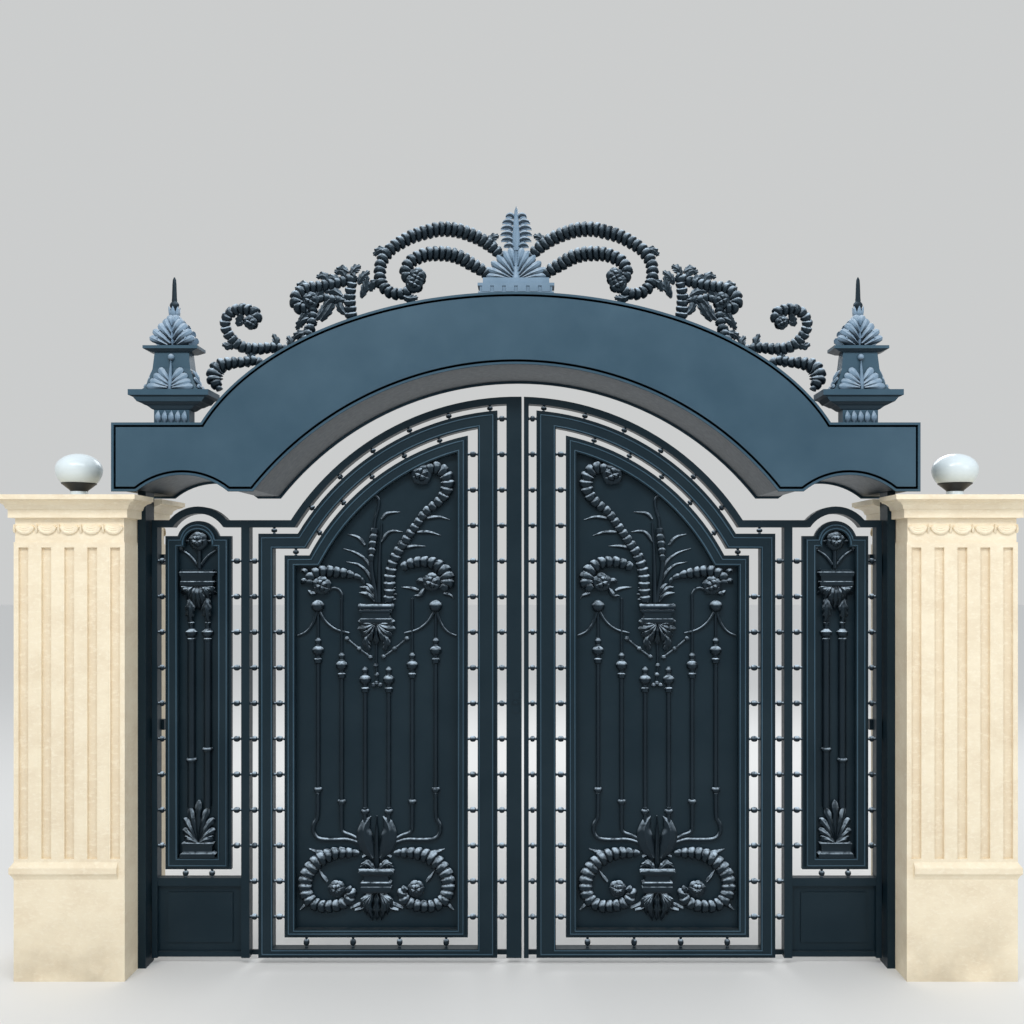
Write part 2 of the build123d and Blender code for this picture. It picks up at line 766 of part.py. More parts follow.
def both(name, shape):
    """Keep a right-hand piece and its mirrored left-hand twin."""
    parts["right_" + name] = shape
    parts["left_" + name] = mirror(shape, Plane.YZ)


both("pillar", make_pillar())
both("pillar_cap", make_cap())
both("lamp_base", make_lamp_base())
both("lamp_globe", make_lamp_globe())
both("gate_post", make_post())
parts["header_body"] = header_body
parts["header_front_plate"] = header_front_plate
parts["header_back_plate"] = header_back_plate
both("pedestal", make_pedestal())
both("finial", make_finial())
parts["crest_palmette"] = make_palmette()
both("crest_scrolls", Compound(make_crest_scrolls(parts["crest_palmette"])))
right_frame = make_leaf_frame(seam_right, right_stile_inner)
left_frame = add_lock(make_leaf_frame(-seam_left, left_stile_inner))
parts["right_leaf_frame"] = Compound([right_frame] + moving_hinges())
parts["left_leaf_frame"] = mirror(Compound([left_frame] + moving_hinges()), Plane.YZ)
moulding_hole = arched(moulding_x_inner, moulding_bottom_inner, moulding_ledge_inner, moulding_radius_inner)
panel_hole = arched(panel_x_inner, panel_bottom_inner, panel_ledge_inner, panel_radius_inner)
side_hole = side_shape(side_x_inner, side_bottom_inner, side_ledge - side_ledge_member,
                       side_round_half - 32, side_top - 40)
both("moulded_frame", stepped_frame(moulding_face, moulding_hole, moulding_front, 0))
both("panel_frame", stepped_frame(panel_face, panel_hole, panel_front, sheet_face))
both("panel_sheet", make_sheet(panel_face))
both("side_frame", stepped_frame(side_face, side_hole, panel_front, sheet_face))
both("side_sheet", make_sheet(side_face))
both("kick_panel", make_kick_panel())
parts["right_collars"] = Compound(make_collars(right_stile_inner))
parts["left_collars"] = mirror(Compound(make_collars(left_stile_inner)), Plane.YZ)
both("reeds", Compound(make_reeds()))
both("upper_scrolls", Compound(make_upper_scrolls()))
both("vase", make_vase())
both("volutes", Compound(make_volutes()))
both("side_ornament", Compound(make_side_ornament()))

os.makedirs("parts", exist_ok=True)
for name, shape in parts.items():
    export_step(shape, "parts/" + name + ".step")
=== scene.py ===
import bpy
import bmesh
import json
import math
from mathutils import Matrix, Vector


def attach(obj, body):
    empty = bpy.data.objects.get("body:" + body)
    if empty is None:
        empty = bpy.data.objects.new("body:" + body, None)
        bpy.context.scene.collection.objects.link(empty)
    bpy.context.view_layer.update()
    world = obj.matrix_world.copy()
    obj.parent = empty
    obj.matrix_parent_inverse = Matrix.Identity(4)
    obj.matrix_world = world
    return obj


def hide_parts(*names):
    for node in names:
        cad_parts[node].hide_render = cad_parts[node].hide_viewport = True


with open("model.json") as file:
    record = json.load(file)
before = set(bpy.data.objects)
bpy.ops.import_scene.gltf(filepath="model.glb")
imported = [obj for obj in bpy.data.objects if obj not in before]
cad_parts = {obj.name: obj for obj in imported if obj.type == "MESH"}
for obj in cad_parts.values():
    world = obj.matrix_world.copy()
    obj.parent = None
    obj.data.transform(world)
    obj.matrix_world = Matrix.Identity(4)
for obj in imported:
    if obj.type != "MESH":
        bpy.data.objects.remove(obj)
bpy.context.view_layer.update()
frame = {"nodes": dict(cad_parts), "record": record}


# Lengths are in metres and angles in degrees, apart from routes drawn in whole millimetres on the sheets
# and over the header's ridge.

# Node helpers
def link(tree, source, target):
    tree.links.new(source, target)


def addNode(tree, kind, place=(0, 0), **settings):
    node = tree.nodes.new(kind)
    node.location = place
    for key, value in settings.items():
        setattr(node, key, value)
    return node


def feed(tree, node, index, value):
    if hasattr(value, "is_output"):
        link(tree, value, node.inputs[index])
    elif value is not None:
        node.inputs[index].default_value = value


def mathNode(tree, operation, a, b=None, c=None, clamp=False):
    node = addNode(tree, "ShaderNodeMath", operation=operation, use_clamp=clamp)
    for index, value in enumerate((a, b, c)):
        feed(tree, node, index, value)
    return node.outputs[0]


def mixColour(tree, factor, a, b):
    node = addNode(tree, "ShaderNodeMix", data_type="RGBA")
    for index, value in ((0, factor), (6, a), (7, b)):
        feed(tree, node, index, value)
    return node.outputs[2]


def remap(tree, value, low, high, newLow=0.0, newHigh=1.0):
    node = addNode(tree, "ShaderNodeMapRange")
    for index, item in enumerate((value, low, high, newLow, newHigh)):
        feed(tree, node, index, item)
    return node.outputs[0]


def noise(tree, vector, scale, detail=3.0, roughness=0.55):
    node = addNode(tree, "ShaderNodeTexNoise")
    for label, value in (("Vector", vector), ("Scale", scale), ("Detail", detail), ("Roughness", roughness)):
        feed(tree, node, label, value)
    return node.outputs[0]


def scaled(tree, vector, scale):
    node = addNode(tree, "ShaderNodeMapping")
    feed(tree, node, 0, vector)
    node.inputs["Scale"].default_value = scale
    return node.outputs[0]


def makeGroup(name, sockets):
    tree = bpy.data.node_groups.new(name, "ShaderNodeTree")
    for direction, label, kind, value in sockets:
        socket = tree.interface.new_socket(name=label, in_out=direction, socket_type="NodeSocket" + kind)
        if value is not None:
            socket.default_value = value
    return tree, addNode(tree, "NodeGroupInput", (-900, 0)), addNode(tree, "NodeGroupOutput", (600, 0))


finishSockets = [("OUTPUT", "Color", "Color", None), ("OUTPUT", "Roughness", "Float", None),
                 ("OUTPUT", "Height", "Float", None)]

# Worn paint: blotches of a worn colour; on what faces up a pale colour that is dust on the dull paints and a
# painted sky highlight on the iron and cast ornament; on what faces down a dark colour that is painted shade
wear = {"blotchScale": 3.5, "speckScale": 45, "grainScale": 260, "upward": (0.18, 0.85),
        "dustAndSheenSpecks": (0.32, 0.58), "downward": (-0.12, -0.60), "shadeUnderAmount": 0.8, "roughSpread": 0.10,
        "dustAndSheenRoughness": 0.4}
paintGroup, given, result = makeGroup("wornPaint", [
    ("INPUT", "Base", "Color", (0.02, 0.03, 0.04, 1)),
    ("INPUT", "Worn", "Color", (0.04, 0.05, 0.06, 1)),
    ("INPUT", "Dust And Sheen", "Color", (0.1, 0.1, 0.1, 1)),
    ("INPUT", "Shade Under", "Color", (0.003, 0.005, 0.007, 1)),
    ("INPUT", "Roughness", "Float", 0.3),
    ("INPUT", "Dust And Sheen Amount", "Float", 0.3)] + finishSockets)
coords = addNode(paintGroup, "ShaderNodeTexCoord", (-900, -300)).outputs["Object"]
facing = addNode(paintGroup, "ShaderNodeSeparateXYZ")
surface = addNode(paintGroup, "ShaderNodeNewGeometry", (-900, -500))
link(paintGroup, surface.outputs["Normal"], facing.inputs[0])
blotch = noise(paintGroup, coords, wear["blotchScale"], 4)
speck = noise(paintGroup, coords, wear["speckScale"], 3, 0.7)
grain = noise(paintGroup, coords, wear["grainScale"], 2)
upward = remap(paintGroup, facing.outputs[2], *wear["upward"])
# Dust and painted highlight: a pale colour on what faces up, a painted sky reflection where that colour is
# bright and blue
dustAndSheen = mathNode(paintGroup, "MULTIPLY", upward, remap(paintGroup, speck, *wear["dustAndSheenSpecks"]))
dustAndSheen = mathNode(paintGroup, "MULTIPLY", dustAndSheen, given.outputs["Dust And Sheen Amount"], clamp=True)
blotched = remap(paintGroup, blotch, 0.35, 0.75)
tone = mixColour(paintGroup, blotched, given.outputs["Base"], given.outputs["Worn"])
# Painted shade: a dark colour blended in on what faces down
paintedShadeBeneath = remap(paintGroup, facing.outputs[2], *wear["downward"], 0, wear["shadeUnderAmount"])
tone = mixColour(paintGroup, paintedShadeBeneath, tone, given.outputs["Shade Under"])
tone = mixColour(paintGroup, dustAndSheen, tone, given.outputs["Dust And Sheen"])
rough = mathNode(paintGroup, "MULTIPLY_ADD", remap(paintGroup, speck, 0.3, 0.7), wear["roughSpread"],
                 given.outputs["Roughness"])
rough = mathNode(paintGroup, "MULTIPLY_ADD", dustAndSheen, wear["dustAndSheenRoughness"], rough, clamp=True)
height = mathNode(paintGroup, "MULTIPLY_ADD", speck, 0.5, grain)
for label, value in (("Color", tone), ("Roughness", rough), ("Height", height)):
    link(paintGroup, value, result.inputs[label])

# Bedded stone: level beds and veins, small pits, painted shade in the flutes and grime near the ground
bedding = {"stretch": (3.2, 3.2, 5.0), "bedScale": 2.2, "fineStretch": (5, 5, 9), "fineScale": 9,
           "cloudScale": 5, "pitStretch": (1, 1, 2.6), "pitScale": 85, "pitSize": (0.16, 0.05),
           "fluteDepth": (0.2205, 0.2135), "fluteTop": (1.80, 1.79), "fluteShade": 0.45,
           "grimeHeight": 0.3, "grimeAmount": 0.55}
stoneGroup, given, result = makeGroup("beddedStone", [
    ("INPUT", "Light", "Color", (0.8, 0.7, 0.5, 1)),
    ("INPUT", "Dark", "Color", (0.6, 0.5, 0.3, 1)),
    ("INPUT", "Vein", "Color", (0.9, 0.8, 0.6, 1)),
    ("INPUT", "Grime", "Color", (0.4, 0.35, 0.25, 1)),
    ("INPUT", "Pillar Place", "Float", 1.81)] + finishSockets)
coords = addNode(stoneGroup, "ShaderNodeTexCoord", (-900, -300)).outputs["Object"]
place = addNode(stoneGroup, "ShaderNodeSeparateXYZ")
link(stoneGroup, coords, place.inputs[0])
beds = noise(stoneGroup, scaled(stoneGroup, coords, bedding["stretch"]), bedding["bedScale"], 5, 0.6)
fine = noise(stoneGroup, scaled(stoneGroup, coords, bedding["fineStretch"]), bedding["fineScale"], 4, 0.65)
cloud = noise(stoneGroup, coords, bedding["cloudScale"], 3)
pits = addNode(stoneGroup, "ShaderNodeTexVoronoi")
feed(stoneGroup, pits, "Vector", scaled(stoneGroup, coords, bedding["pitStretch"]))
pits.inputs["Scale"].default_value = bedding["pitScale"]
pit = mathNode(stoneGroup, "MULTIPLY", remap(stoneGroup, pits.outputs["Distance"], *bedding["pitSize"]),
               remap(stoneGroup, cloud, 0.5, 0.62))
fromPillar = mathNode(stoneGroup, "SUBTRACT", mathNode(stoneGroup, "ABSOLUTE", place.outputs[0]),
                      given.outputs["Pillar Place"])
outward = mathNode(stoneGroup, "MAXIMUM", mathNode(stoneGroup, "ABSOLUTE", fromPillar),
                   mathNode(stoneGroup, "ABSOLUTE", place.outputs[1]))
# Painted shade in the flutes: darker where the surface lies behind the shaft's face, below the flutes' top
paintedFluteShade = mathNode(stoneGroup, "MULTIPLY", remap(stoneGroup, outward, *bedding["fluteDepth"]),
                remap(stoneGroup, place.outputs[2], *bedding["fluteTop"]))
ground = mathNode(stoneGroup, "MULTIPLY", remap(stoneGroup, place.outputs[2], bedding["grimeHeight"], 0.0),
                  remap(stoneGroup, cloud, 0.35, 0.7))
tone = given.outputs["Light"]
for label, share in (("Dark", remap(stoneGroup, beds, 0.40, 0.70, 0, 0.55)),
                     ("Dark", mathNode(stoneGroup, "MULTIPLY", paintedFluteShade, bedding["fluteShade"])),
                     ("Vein", remap(stoneGroup, fine, 0.5, 0.72, 0, 0.7)),
                     ("Grime", mathNode(stoneGroup, "MULTIPLY", pit, 0.6)),
                     ("Grime", mathNode(stoneGroup, "MULTIPLY", ground, bedding["grimeAmount"]))):
    tone = mixColour(stoneGroup, share, tone, given.outputs[label])
link(stoneGroup, tone, result.inputs["Color"])
link(stoneGroup, remap(stoneGroup, fine, 0.3, 0.7, 0.5, 0.75), result.inputs["Roughness"])
link(stoneGroup, mathNode(stoneGroup, "MULTIPLY_ADD", pit, -1.6, fine), result.inputs["Height"])


def groupMaterial(name, group, colours, floats, bump, bumpDistance, **fixed):
    material = bpy.data.materials.new(name)
    material.use_nodes = True
    tree = material.node_tree
    shader = tree.nodes["Principled BSDF"]
    node = addNode(tree, "ShaderNodeGroup", (-500, 0))
    node.node_tree = group
    for label, colour in colours.items():
        node.inputs[label].default_value = (*colour, 1)
    for label, value in floats.items():
        node.inputs[label].default_value = value
    relief = addNode(tree, "ShaderNodeBump", (-200, -200))
    relief.inputs["Strength"].default_value = bump
    relief.inputs["Distance"].default_value = bumpDistance
    link(tree, node.outputs["Color"], shader.inputs["Base Color"])
    link(tree, node.outputs["Roughness"], shader.inputs["Roughness"])
    link(tree, node.outputs["Height"], relief.inputs["Height"])
    link(tree, relief.outputs[0], shader.inputs["Normal"])
    for label, value in fixed.items():
        shader.inputs[label.replace("_", " ")].default_value = value
    material.diffuse_color = (*list(colours.values())[0], 1)
    return material


def paintMaterial(name, look):
    colours = {"Base": look["base"], "Worn": look["worn"], "Dust And Sheen": look["dustAndSheen"]}
    floats = {"Roughness": look["roughness"], "Dust And Sheen Amount": look["dustAndSheenAmount"]}
    return groupMaterial(name, paintGroup, colours, floats, look["bump"], 0.0006,
                         Specular_IOR_Level=look["specular"], Specular_Tint=(*look["tint"], 1))


gatePaint = {"base": (0.005, 0.014, 0.021), "worn": (0.010, 0.021, 0.029), "dustAndSheen": (0.07, 0.075, 0.075),
             "roughness": 0.34, "dustAndSheenAmount": 0.35, "specular": 0.20, "tint": (0.8, 0.92, 1.0), "bump": 0.12}
headerPaint = {"base": (0.029, 0.065, 0.096), "worn": (0.046, 0.090, 0.126), "dustAndSheen": (0.13, 0.14, 0.14),
               "roughness": 0.36, "dustAndSheenAmount": 0.2, "specular": 0.30, "tint": (0.8, 0.92, 1.0), "bump": 0.12}
# The cast and iron paints take a bright blue colour on what faces up, a painted sky highlight
castPaint = {"base": (0.130, 0.200, 0.270), "worn": (0.220, 0.310, 0.410), "dustAndSheen": (0.56, 0.64, 0.72),
             "roughness": 0.32, "dustAndSheenAmount": 0.7, "specular": 0.5, "tint": (0.8, 0.9, 1.0), "bump": 0.2}
ironGloss = {"base": (0.003, 0.006, 0.009), "worn": (0.006, 0.011, 0.016), "dustAndSheen": (0.56, 0.68, 0.79),
             "roughness": 0.33, "dustAndSheenAmount": 1.0, "specular": 0.34, "tint": (0.60, 0.82, 1.0), "bump": 0.2}
footPaint = {"base": (0.008, 0.010, 0.012), "worn": (0.014, 0.017, 0.019), "dustAndSheen": (0.16, 0.16, 0.15),
             "roughness": 0.35, "dustAndSheenAmount": 0.3, "specular": 0.4, "tint": (1, 1, 1), "bump": 0.15}
paint = paintMaterial("gatePaint", gatePaint)
pale = paintMaterial("headerPaint", headerPaint)
cast = paintMaterial("castPaint", castPaint)
iron = paintMaterial("ironGloss", ironGloss)
foot = paintMaterial("lampFoot", footPaint)

stone = {"Light": (0.848, 0.738, 0.548), "Dark": (0.70, 0.565, 0.39), "Vein": (0.90, 0.81, 0.64),
         "Grime": (0.42, 0.35, 0.25)}
masonry = groupMaterial("travertine", stoneGroup, stone, {}, 0.35, 0.002)

opalGlass = {"colour": (0.70, 0.78, 0.81), "shaded": 0.93, "cloudScale": 9, "roughness": 0.16, "spread": 0.08}
opal = bpy.data.materials.new("opalGlobe")
opal.use_nodes = True
tree = opal.node_tree
shader = tree.nodes["Principled BSDF"]
cloudy = noise(tree, addNode(tree, "ShaderNodeTexCoord").outputs["Object"], opalGlass["cloudScale"], 3)
white = (*opalGlass["colour"], 1)
shaded = tuple(opalGlass["shaded"] * channel for channel in opalGlass["colour"]) + (1,)
link(tree, mixColour(tree, cloudy, white, shaded), shader.inputs["Base Color"])
gloss = remap(tree, cloudy, 0.3, 0.7, opalGlass["roughness"], opalGlass["roughness"] + opalGlass["spread"])
link(tree, gloss, shader.inputs["Roughness"])
print("materials ready")


# Mesh helpers: a build collects rings of points and turns them into closed skins
def newBuild():
    return {"verts": [], "faces": []}


def addTube(build, rings):
    base = len(build["verts"])
    count = len(rings[0])
    for ring in rings:
        build["verts"] += [tuple(point) for point in ring]
    for row in range(len(rings) - 1):
        for col in range(count):
            after = (col + 1) % count
            low = base + row * count
            build["faces"].append((low + col, low + after, low + count + after, low + count + col))
    build["faces"].append(tuple(base + col for col in reversed(range(count))))
    top = base + (len(rings) - 1) * count
    build["faces"].append(tuple(top + col for col in range(count)))


def lathe(build, centre, profile, sides=24, axis="Z", share=1.0):
    # profile holds pairs of distance along the axis and radius, share presses an upright turning flatter
    rings = []
    for along, radius in profile:
        ring = []
        for side in range(sides):
            angle = 2 * math.pi * side / sides
            a, b = radius * math.cos(angle), radius * math.sin(angle)
            ring.append(Vector(centre) + Vector((along, a, b) if axis == "X" else (a, share * b, along)))
        rings.append(ring)
    addTube(build, rings)


def addBlock(build, x, y, z, share, profile):
    # Square turning: profile holds pairs of height and half width, share gives its depth for its width
    rings = []
    for level, width in profile:
        deep = width * share
        corners = [(-width, -deep), (width, -deep), (width, deep), (-width, deep)]
        rings.append([Vector((x + a, y + b, z + level)) for a, b in corners])
    addTube(build, rings)


def addSlab(build, x, y, z, wide, deep, height):
    # Flat bar from its middle, with its half width and half depth
    corners = [(-wide, -deep), (wide, -deep), (wide, deep), (-wide, deep)]
    addTube(build, [[Vector((x + a, y + b, level)) for a, b in corners] for level in (z, z + height)])


def smoothPath(points, count):
    # Catmull-Rom through the points, evenly spaced, with the direction at each step
    knots = [Vector(point) for point in points]
    knots = [2 * knots[0] - knots[1]] + knots + [2 * knots[-1] - knots[-2]]
    dense = []
    for index in range(1, len(knots) - 2):
        a, b, c, d = knots[index - 1:index + 3]
        for step in range(16):
            t = step / 16
            dense.append(0.5 * (2 * b + (c - a) * t + (2 * a - 5 * b + 4 * c - d) * t * t
                                + (3 * b - a - 3 * c + d) * t ** 3))
    dense.append(knots[-2])
    lengths = [0.0]
    for low, high in zip(dense, dense[1:]):
        lengths.append(lengths[-1] + (high - low).length)
    found = []
    cursor = 0
    for index in range(count):
        target = lengths[-1] * index / (count - 1)
        while cursor < len(lengths) - 2 and lengths[cursor + 1] < target:
            cursor += 1
        span = max(lengths[cursor + 1] - lengths[cursor], 1e-9)
        part = (target - lengths[cursor]) / span
        found.append(dense[cursor].lerp(dense[cursor + 1], min(max(part, 0), 1)))
    path = []
    for index, point in enumerate(found):
        before = found[max(index - 1, 0)]
        after = found[min(index + 1, count - 1)]
        path.append((point, (after - before).normalized()))
    return path


def blendTable(table, part):
    # Value at a place in a table of places and values, eased from one to the next
    for (p0, v0), (p1, v1) in zip(table, table[1:]):
        if part <= p1:
            t = (part - p0) / (p1 - p0)
            t = t * t * (3 - 2 * t)
            return v0 + (v1 - v0) * t
    return table[-1][1]


def between(values, part):
    # Value at a share of the way along a row of evenly spaced values
    place = part * (len(values) - 1)
    low = min(int(place), len(values) - 2)
    return values[low] + (values[low + 1] - values[low]) * (place - low)


# Half widths of leaves from root to tip, and how their faces are worked
leafShape = [(0, 0.45), (0.25, 0.95), (0.5, 1.0), (0.8, 0.62), (1, 0.06)]
bladeShape = [(0, 0.7), (0.25, 1.0), (0.6, 0.7), (1, 0.12)]
frondShape = [(0, 0.35), (0.45, 0.8), (0.75, 1.0), (0.92, 0.8), (1, 0.3)]
dropShape = [(0, 0.4), (0.3, 0.6), (0.7, 1.0), (0.9, 0.7), (1, 0.15)]
leafWork = {"lobeCut": 0.34, "vein": 0.35, "midrib": 0.35, "midribWidth": 0.16, "sweep": 0.5, "back": 0.6}


def addLeaf(build, spine, width, thick, shape=leafShape, lobes=0, relief=0.5, facing=(0, -1, 0), side=None,
            rows=22, cols=4):
    # A leaf along its spine: facing stays the same for flat relief, side for a leaf that curls
    rings = []
    for index, (point, tangent) in enumerate(smoothPath(spine, rows)):
        part = index / (rows - 1)
        if side is None:
            out = Vector(facing).normalized()
            across = tangent.cross(out).normalized()
        else:
            across = Vector(side).normalized()
            out = across.cross(tangent).normalized()
        wave = abs(math.sin(math.pi * lobes * part)) if lobes else 1.0
        half = width * blendTable(shape, part) * (1 - leafWork["lobeCut"] + leafWork["lobeCut"] * wave)
        body = thick * (0.35 + 0.65 * min(1.0, 1.6 * (1 - part) + 0.12))
        front = []
        for col in range(-cols, cols + 1):
            u = col / cols
            height = math.sqrt(max(0.0, 1 - 0.86 * u * u))
            height += leafWork["midrib"] * relief * math.exp(-((u / leafWork["midribWidth"]) ** 2))
            forward = 0.0
            if lobes:
                turn = 2 * math.pi * (lobes * part - 0.5 - 0.9 * abs(u))
                height += leafWork["vein"] * relief * math.cos(turn) * abs(u)
                forward = leafWork["sweep"] * abs(u) ** 1.5 * half * (0.4 + 0.6 * wave)
            front.append(point + across * (u * half) + out * (body * height) + tangent * forward)
        under = out * (body * leafWork["back"])
        rings.append(front + [front[-1] - under, front[0] - under])
    addTube(build, rings)


def addRod(build, points, radii, count=24, sides=10):
    # Round bar along a path in space, its radius blended between the two ends
    rings = []
    for index, (point, tangent) in enumerate(smoothPath(points, count)):
        radius = radii[0] + (radii[1] - radii[0]) * index / (count - 1)
        across = tangent.cross(Vector((0, -1, 0)))
        across = across.normalized() if across.length > 1e-4 else Vector((1, 0, 0))
        out = across.cross(tangent).normalized()
        turns = [2 * math.pi * side / sides for side in range(sides)]
        rings.append([point + across * (radius * math.cos(turn)) + out * (radius * math.sin(turn))
                      for turn in turns])
    addTube(build, rings)


def addRose(build, centre, radius, thick, petals=5, turn=0.0, facing=(0, -1, 0)):
    # Small flower: two rings of cupped petals round a bead
    centre, out = Vector(centre), Vector(facing).normalized()
    up = Vector((0, 0, 1)) if abs(out.z) < 0.9 else Vector((0, 1, 0))
    right = up.cross(out).normalized()
    for ring, (count, reach, lift) in enumerate(((petals, 1.0, 0.0), (petals - 1, 0.6, 0.5))):
        for index in range(count):
            angle = turn + 2 * math.pi * (index + 0.5 * ring) / count
            way = right * math.cos(angle) + up * math.sin(angle)
            spine = [centre + out * (thick * lift) + way * (radius * 0.12),
                     centre + out * (thick * (0.5 + lift)) + way * (radius * 0.55 * reach),
                     centre + out * (thick * (0.25 + lift)) + way * (radius * reach)]
            addLeaf(build, spine, radius * 0.5 * reach, thick * 0.4, dropShape, side=way.cross(out), rows=11)
    rings = []
    for step in range(7):
        angle = math.pi * (0.5 + 0.5 * step / 6)
        along = thick * (0.7 - 0.75 * math.cos(angle) - 0.4)
        size = max(0.0005, radius * 0.26 * math.sin(angle))
        turns = [2 * math.pi * side / 10 for side in range(10)]
        rings.append([centre + out * along + right * (size * math.cos(a)) + up * (size * math.sin(a))
                      for a in turns])
    addTube(build, rings)


def addFan(build, origin, facing, fronds, half, thick, surface):
    # Fan of fronds on an upright surface: each one lists its root and its tip, out from the middle and up
    out = Vector(facing).normalized()
    right = Vector((0, 0, 1)).cross(out).normalized()
    for rootReach, rootHeight, tipReach, tipHeight in fronds:
        for side in (-1, 1):
            spine = []
            for part, lift in ((0, 0), (0.45, 0.9), (0.85, 1.0), (1.0, 0.5)):
                reach = rootReach + (tipReach - rootReach) * part
                height = rootHeight + (tipHeight - rootHeight) * part
                spine.append(Vector(origin) + right * (side * reach) + Vector((0, 0, height))
                             + out * (surface(height) + lift * thick * 0.6))
            addLeaf(build, spine, half, thick, frondShape, facing=out, rows=14)


def meshFrom(build, name, angle=38):
    mesh = bpy.data.meshes.new(name)
    mesh.from_pydata(build["verts"], [], build["faces"])
    cleaner = bmesh.new()
    cleaner.from_mesh(mesh)
    bmesh.ops.recalc_face_normals(cleaner, faces=cleaner.faces)
    cleaner.to_mesh(mesh)
    cleaner.free()
    mesh.shade_smooth()
    mesh.set_sharp_from_angle(angle=math.radians(angle))
    return mesh


def joined(name, *meshes):
    # One mesh from several that share a material
    whole = bmesh.new()
    for mesh in meshes:
        whole.from_mesh(mesh)
    mesh = bpy.data.meshes.new(name)
    whole.to_mesh(mesh)
    whole.free()
    return mesh


def addPiece(name, mesh, material, body, nodes):
    if not mesh.materials:
        mesh.materials.append(material)
    piece = bpy.data.objects.new(name, mesh)
    bpy.context.scene.collection.objects.link(piece)
    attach(piece, body)
    if nodes:
        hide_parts(*nodes)
    return piece


leaf = {"sheet": -0.015, "seat": 0.0025, "archCentre": 1.2649}
sheet = leaf["sheet"]
leafBodies = ("right_leaf", "left_leaf")
gatewayBodies = ("gateway", "gateway")


def bothSides(name, mesh, material, bodies, nodes=()):
    # The right-hand piece, and its twin mirrored to the left; leaf ornament is cut flat inside its sheet
    if bodies == leafBodies:
        for vertex in mesh.vertices:
            vertex.co.y = min(vertex.co.y, sheet + leaf["seat"])
    twin = mesh.copy()
    twin.transform(Matrix.Scale(-1, 4, (1, 0, 0)))
    twin.flip_normals()
    label = name[0].upper() + name[1:]
    addPiece("right" + label, mesh, material, bodies[0], ["right_" + node for node in nodes])
    addPiece("left" + label, twin, material, bodies[1], ["left_" + node for node in nodes])


def onSheet(places, x, level, proud, side=1):
    # Places in millimetres out from x and up from the level. proud is the height off the sheet, one for all
    # or one for each.
    heights = proud if isinstance(proud, tuple) else (proud,) * len(places)
    return [(x + side * a / 1000, sheet - height / 1000, level + b / 1000)
            for (a, b), height in zip(places, heights)]


# Geometry Nodes: ribbed scrolls along curves, turned pieces on points, round beads along curves
def geometryTree(name, inputs):
    tree = bpy.data.node_groups.new(name, "GeometryNodeTree")
    tree.interface.new_socket(name="Geometry", in_out="INPUT", socket_type="NodeSocketGeometry")
    for label, kind, value in inputs + [("Material", "Material", None)]:
        socket = tree.interface.new_socket(name=label, in_out="INPUT", socket_type="NodeSocket" + kind)
        if value is not None:
            socket.default_value = value
    tree.interface.new_socket(name="Geometry", in_out="OUTPUT", socket_type="NodeSocketGeometry")
    return tree, addNode(tree, "NodeGroupInput", (-1200, 0)), addNode(tree, "NodeGroupOutput", (1200, 0))


def endTree(tree, given, result, geometry):
    real = addNode(tree, "GeometryNodeRealizeInstances", (800, 0))
    dressed = addNode(tree, "GeometryNodeSetMaterial", (1000, 0))
    link(tree, geometry, real.inputs[0])
    link(tree, real.outputs[0], dressed.inputs[0])
    link(tree, given.outputs["Material"], dressed.inputs["Material"])
    link(tree, dressed.outputs[0], result.inputs[0])


# The ribs are sunk into a round skin along its own normals, and the whole is then pressed flatter
ribTree, given, result = geometryTree("ribbedScroll", [
    ("Rib Pitch", "Float", 0.03), ("Rib Depth", "Float", 0.3), ("Slant", "Float", 0.5),
    ("Flatten", "Float", 0.8), ("Depth", "Float", 0.0), ("Step", "Float", 0.004), ("Sides", "Int", 18)])
fineCurve = addNode(ribTree, "GeometryNodeResampleCurve", (-950, 0), mode="LENGTH")
link(ribTree, given.outputs["Geometry"], fineCurve.inputs["Curve"])
link(ribTree, given.outputs["Step"], fineCurve.inputs["Length"])
kept = addNode(ribTree, "GeometryNodeCaptureAttribute", (-700, 0), domain="POINT")
kept.capture_items.new("FLOAT", "along")
kept.capture_items.new("FLOAT", "thick")
link(ribTree, fineCurve.outputs[0], kept.inputs[0])
link(ribTree, addNode(ribTree, "GeometryNodeSplineParameter").outputs["Length"], kept.inputs[1])
link(ribTree, addNode(ribTree, "GeometryNodeInputRadius").outputs[0], kept.inputs[2])
along, thick = kept.outputs[1], kept.outputs[2]
circle = addNode(ribTree, "GeometryNodeCurvePrimitiveCircle", (-700, -300))
circle.inputs["Radius"].default_value = 1.0
link(ribTree, given.outputs["Sides"], circle.inputs["Resolution"])
skin = addNode(ribTree, "GeometryNodeCurveToMesh", (-400, 0))
link(ribTree, kept.outputs[0], skin.inputs["Curve"])
link(ribTree, circle.outputs["Curve"], skin.inputs["Profile Curve"])
link(ribTree, thick, skin.inputs["Scale"])
skin.inputs["Fill Caps"].default_value = True
here = addNode(ribTree, "ShaderNodeSeparateXYZ")
link(ribTree, addNode(ribTree, "GeometryNodeInputPosition").outputs[0], here.inputs[0])
forward = mathNode(ribTree, "SUBTRACT", here.outputs[1], given.outputs["Depth"])
across = mathNode(ribTree, "ABSOLUTE", mathNode(ribTree, "DIVIDE", forward, thick))
phase = mathNode(ribTree, "DIVIDE", along, given.outputs["Rib Pitch"])
phase = mathNode(ribTree, "MULTIPLY_ADD", across, given.outputs["Slant"], phase)
swell = mathNode(ribTree, "SINE", mathNode(ribTree, "MULTIPLY", phase, math.pi))
swell = mathNode(ribTree, "ABSOLUTE", swell)
groove = mathNode(ribTree, "POWER", mathNode(ribTree, "SUBTRACT", 1.0, swell), 2.4)
rise = mathNode(ribTree, "SUBTRACT", 1.0, mathNode(ribTree, "FRACT", phase))
groove = mathNode(ribTree, "MULTIPLY_ADD", rise, 0.45, groove)
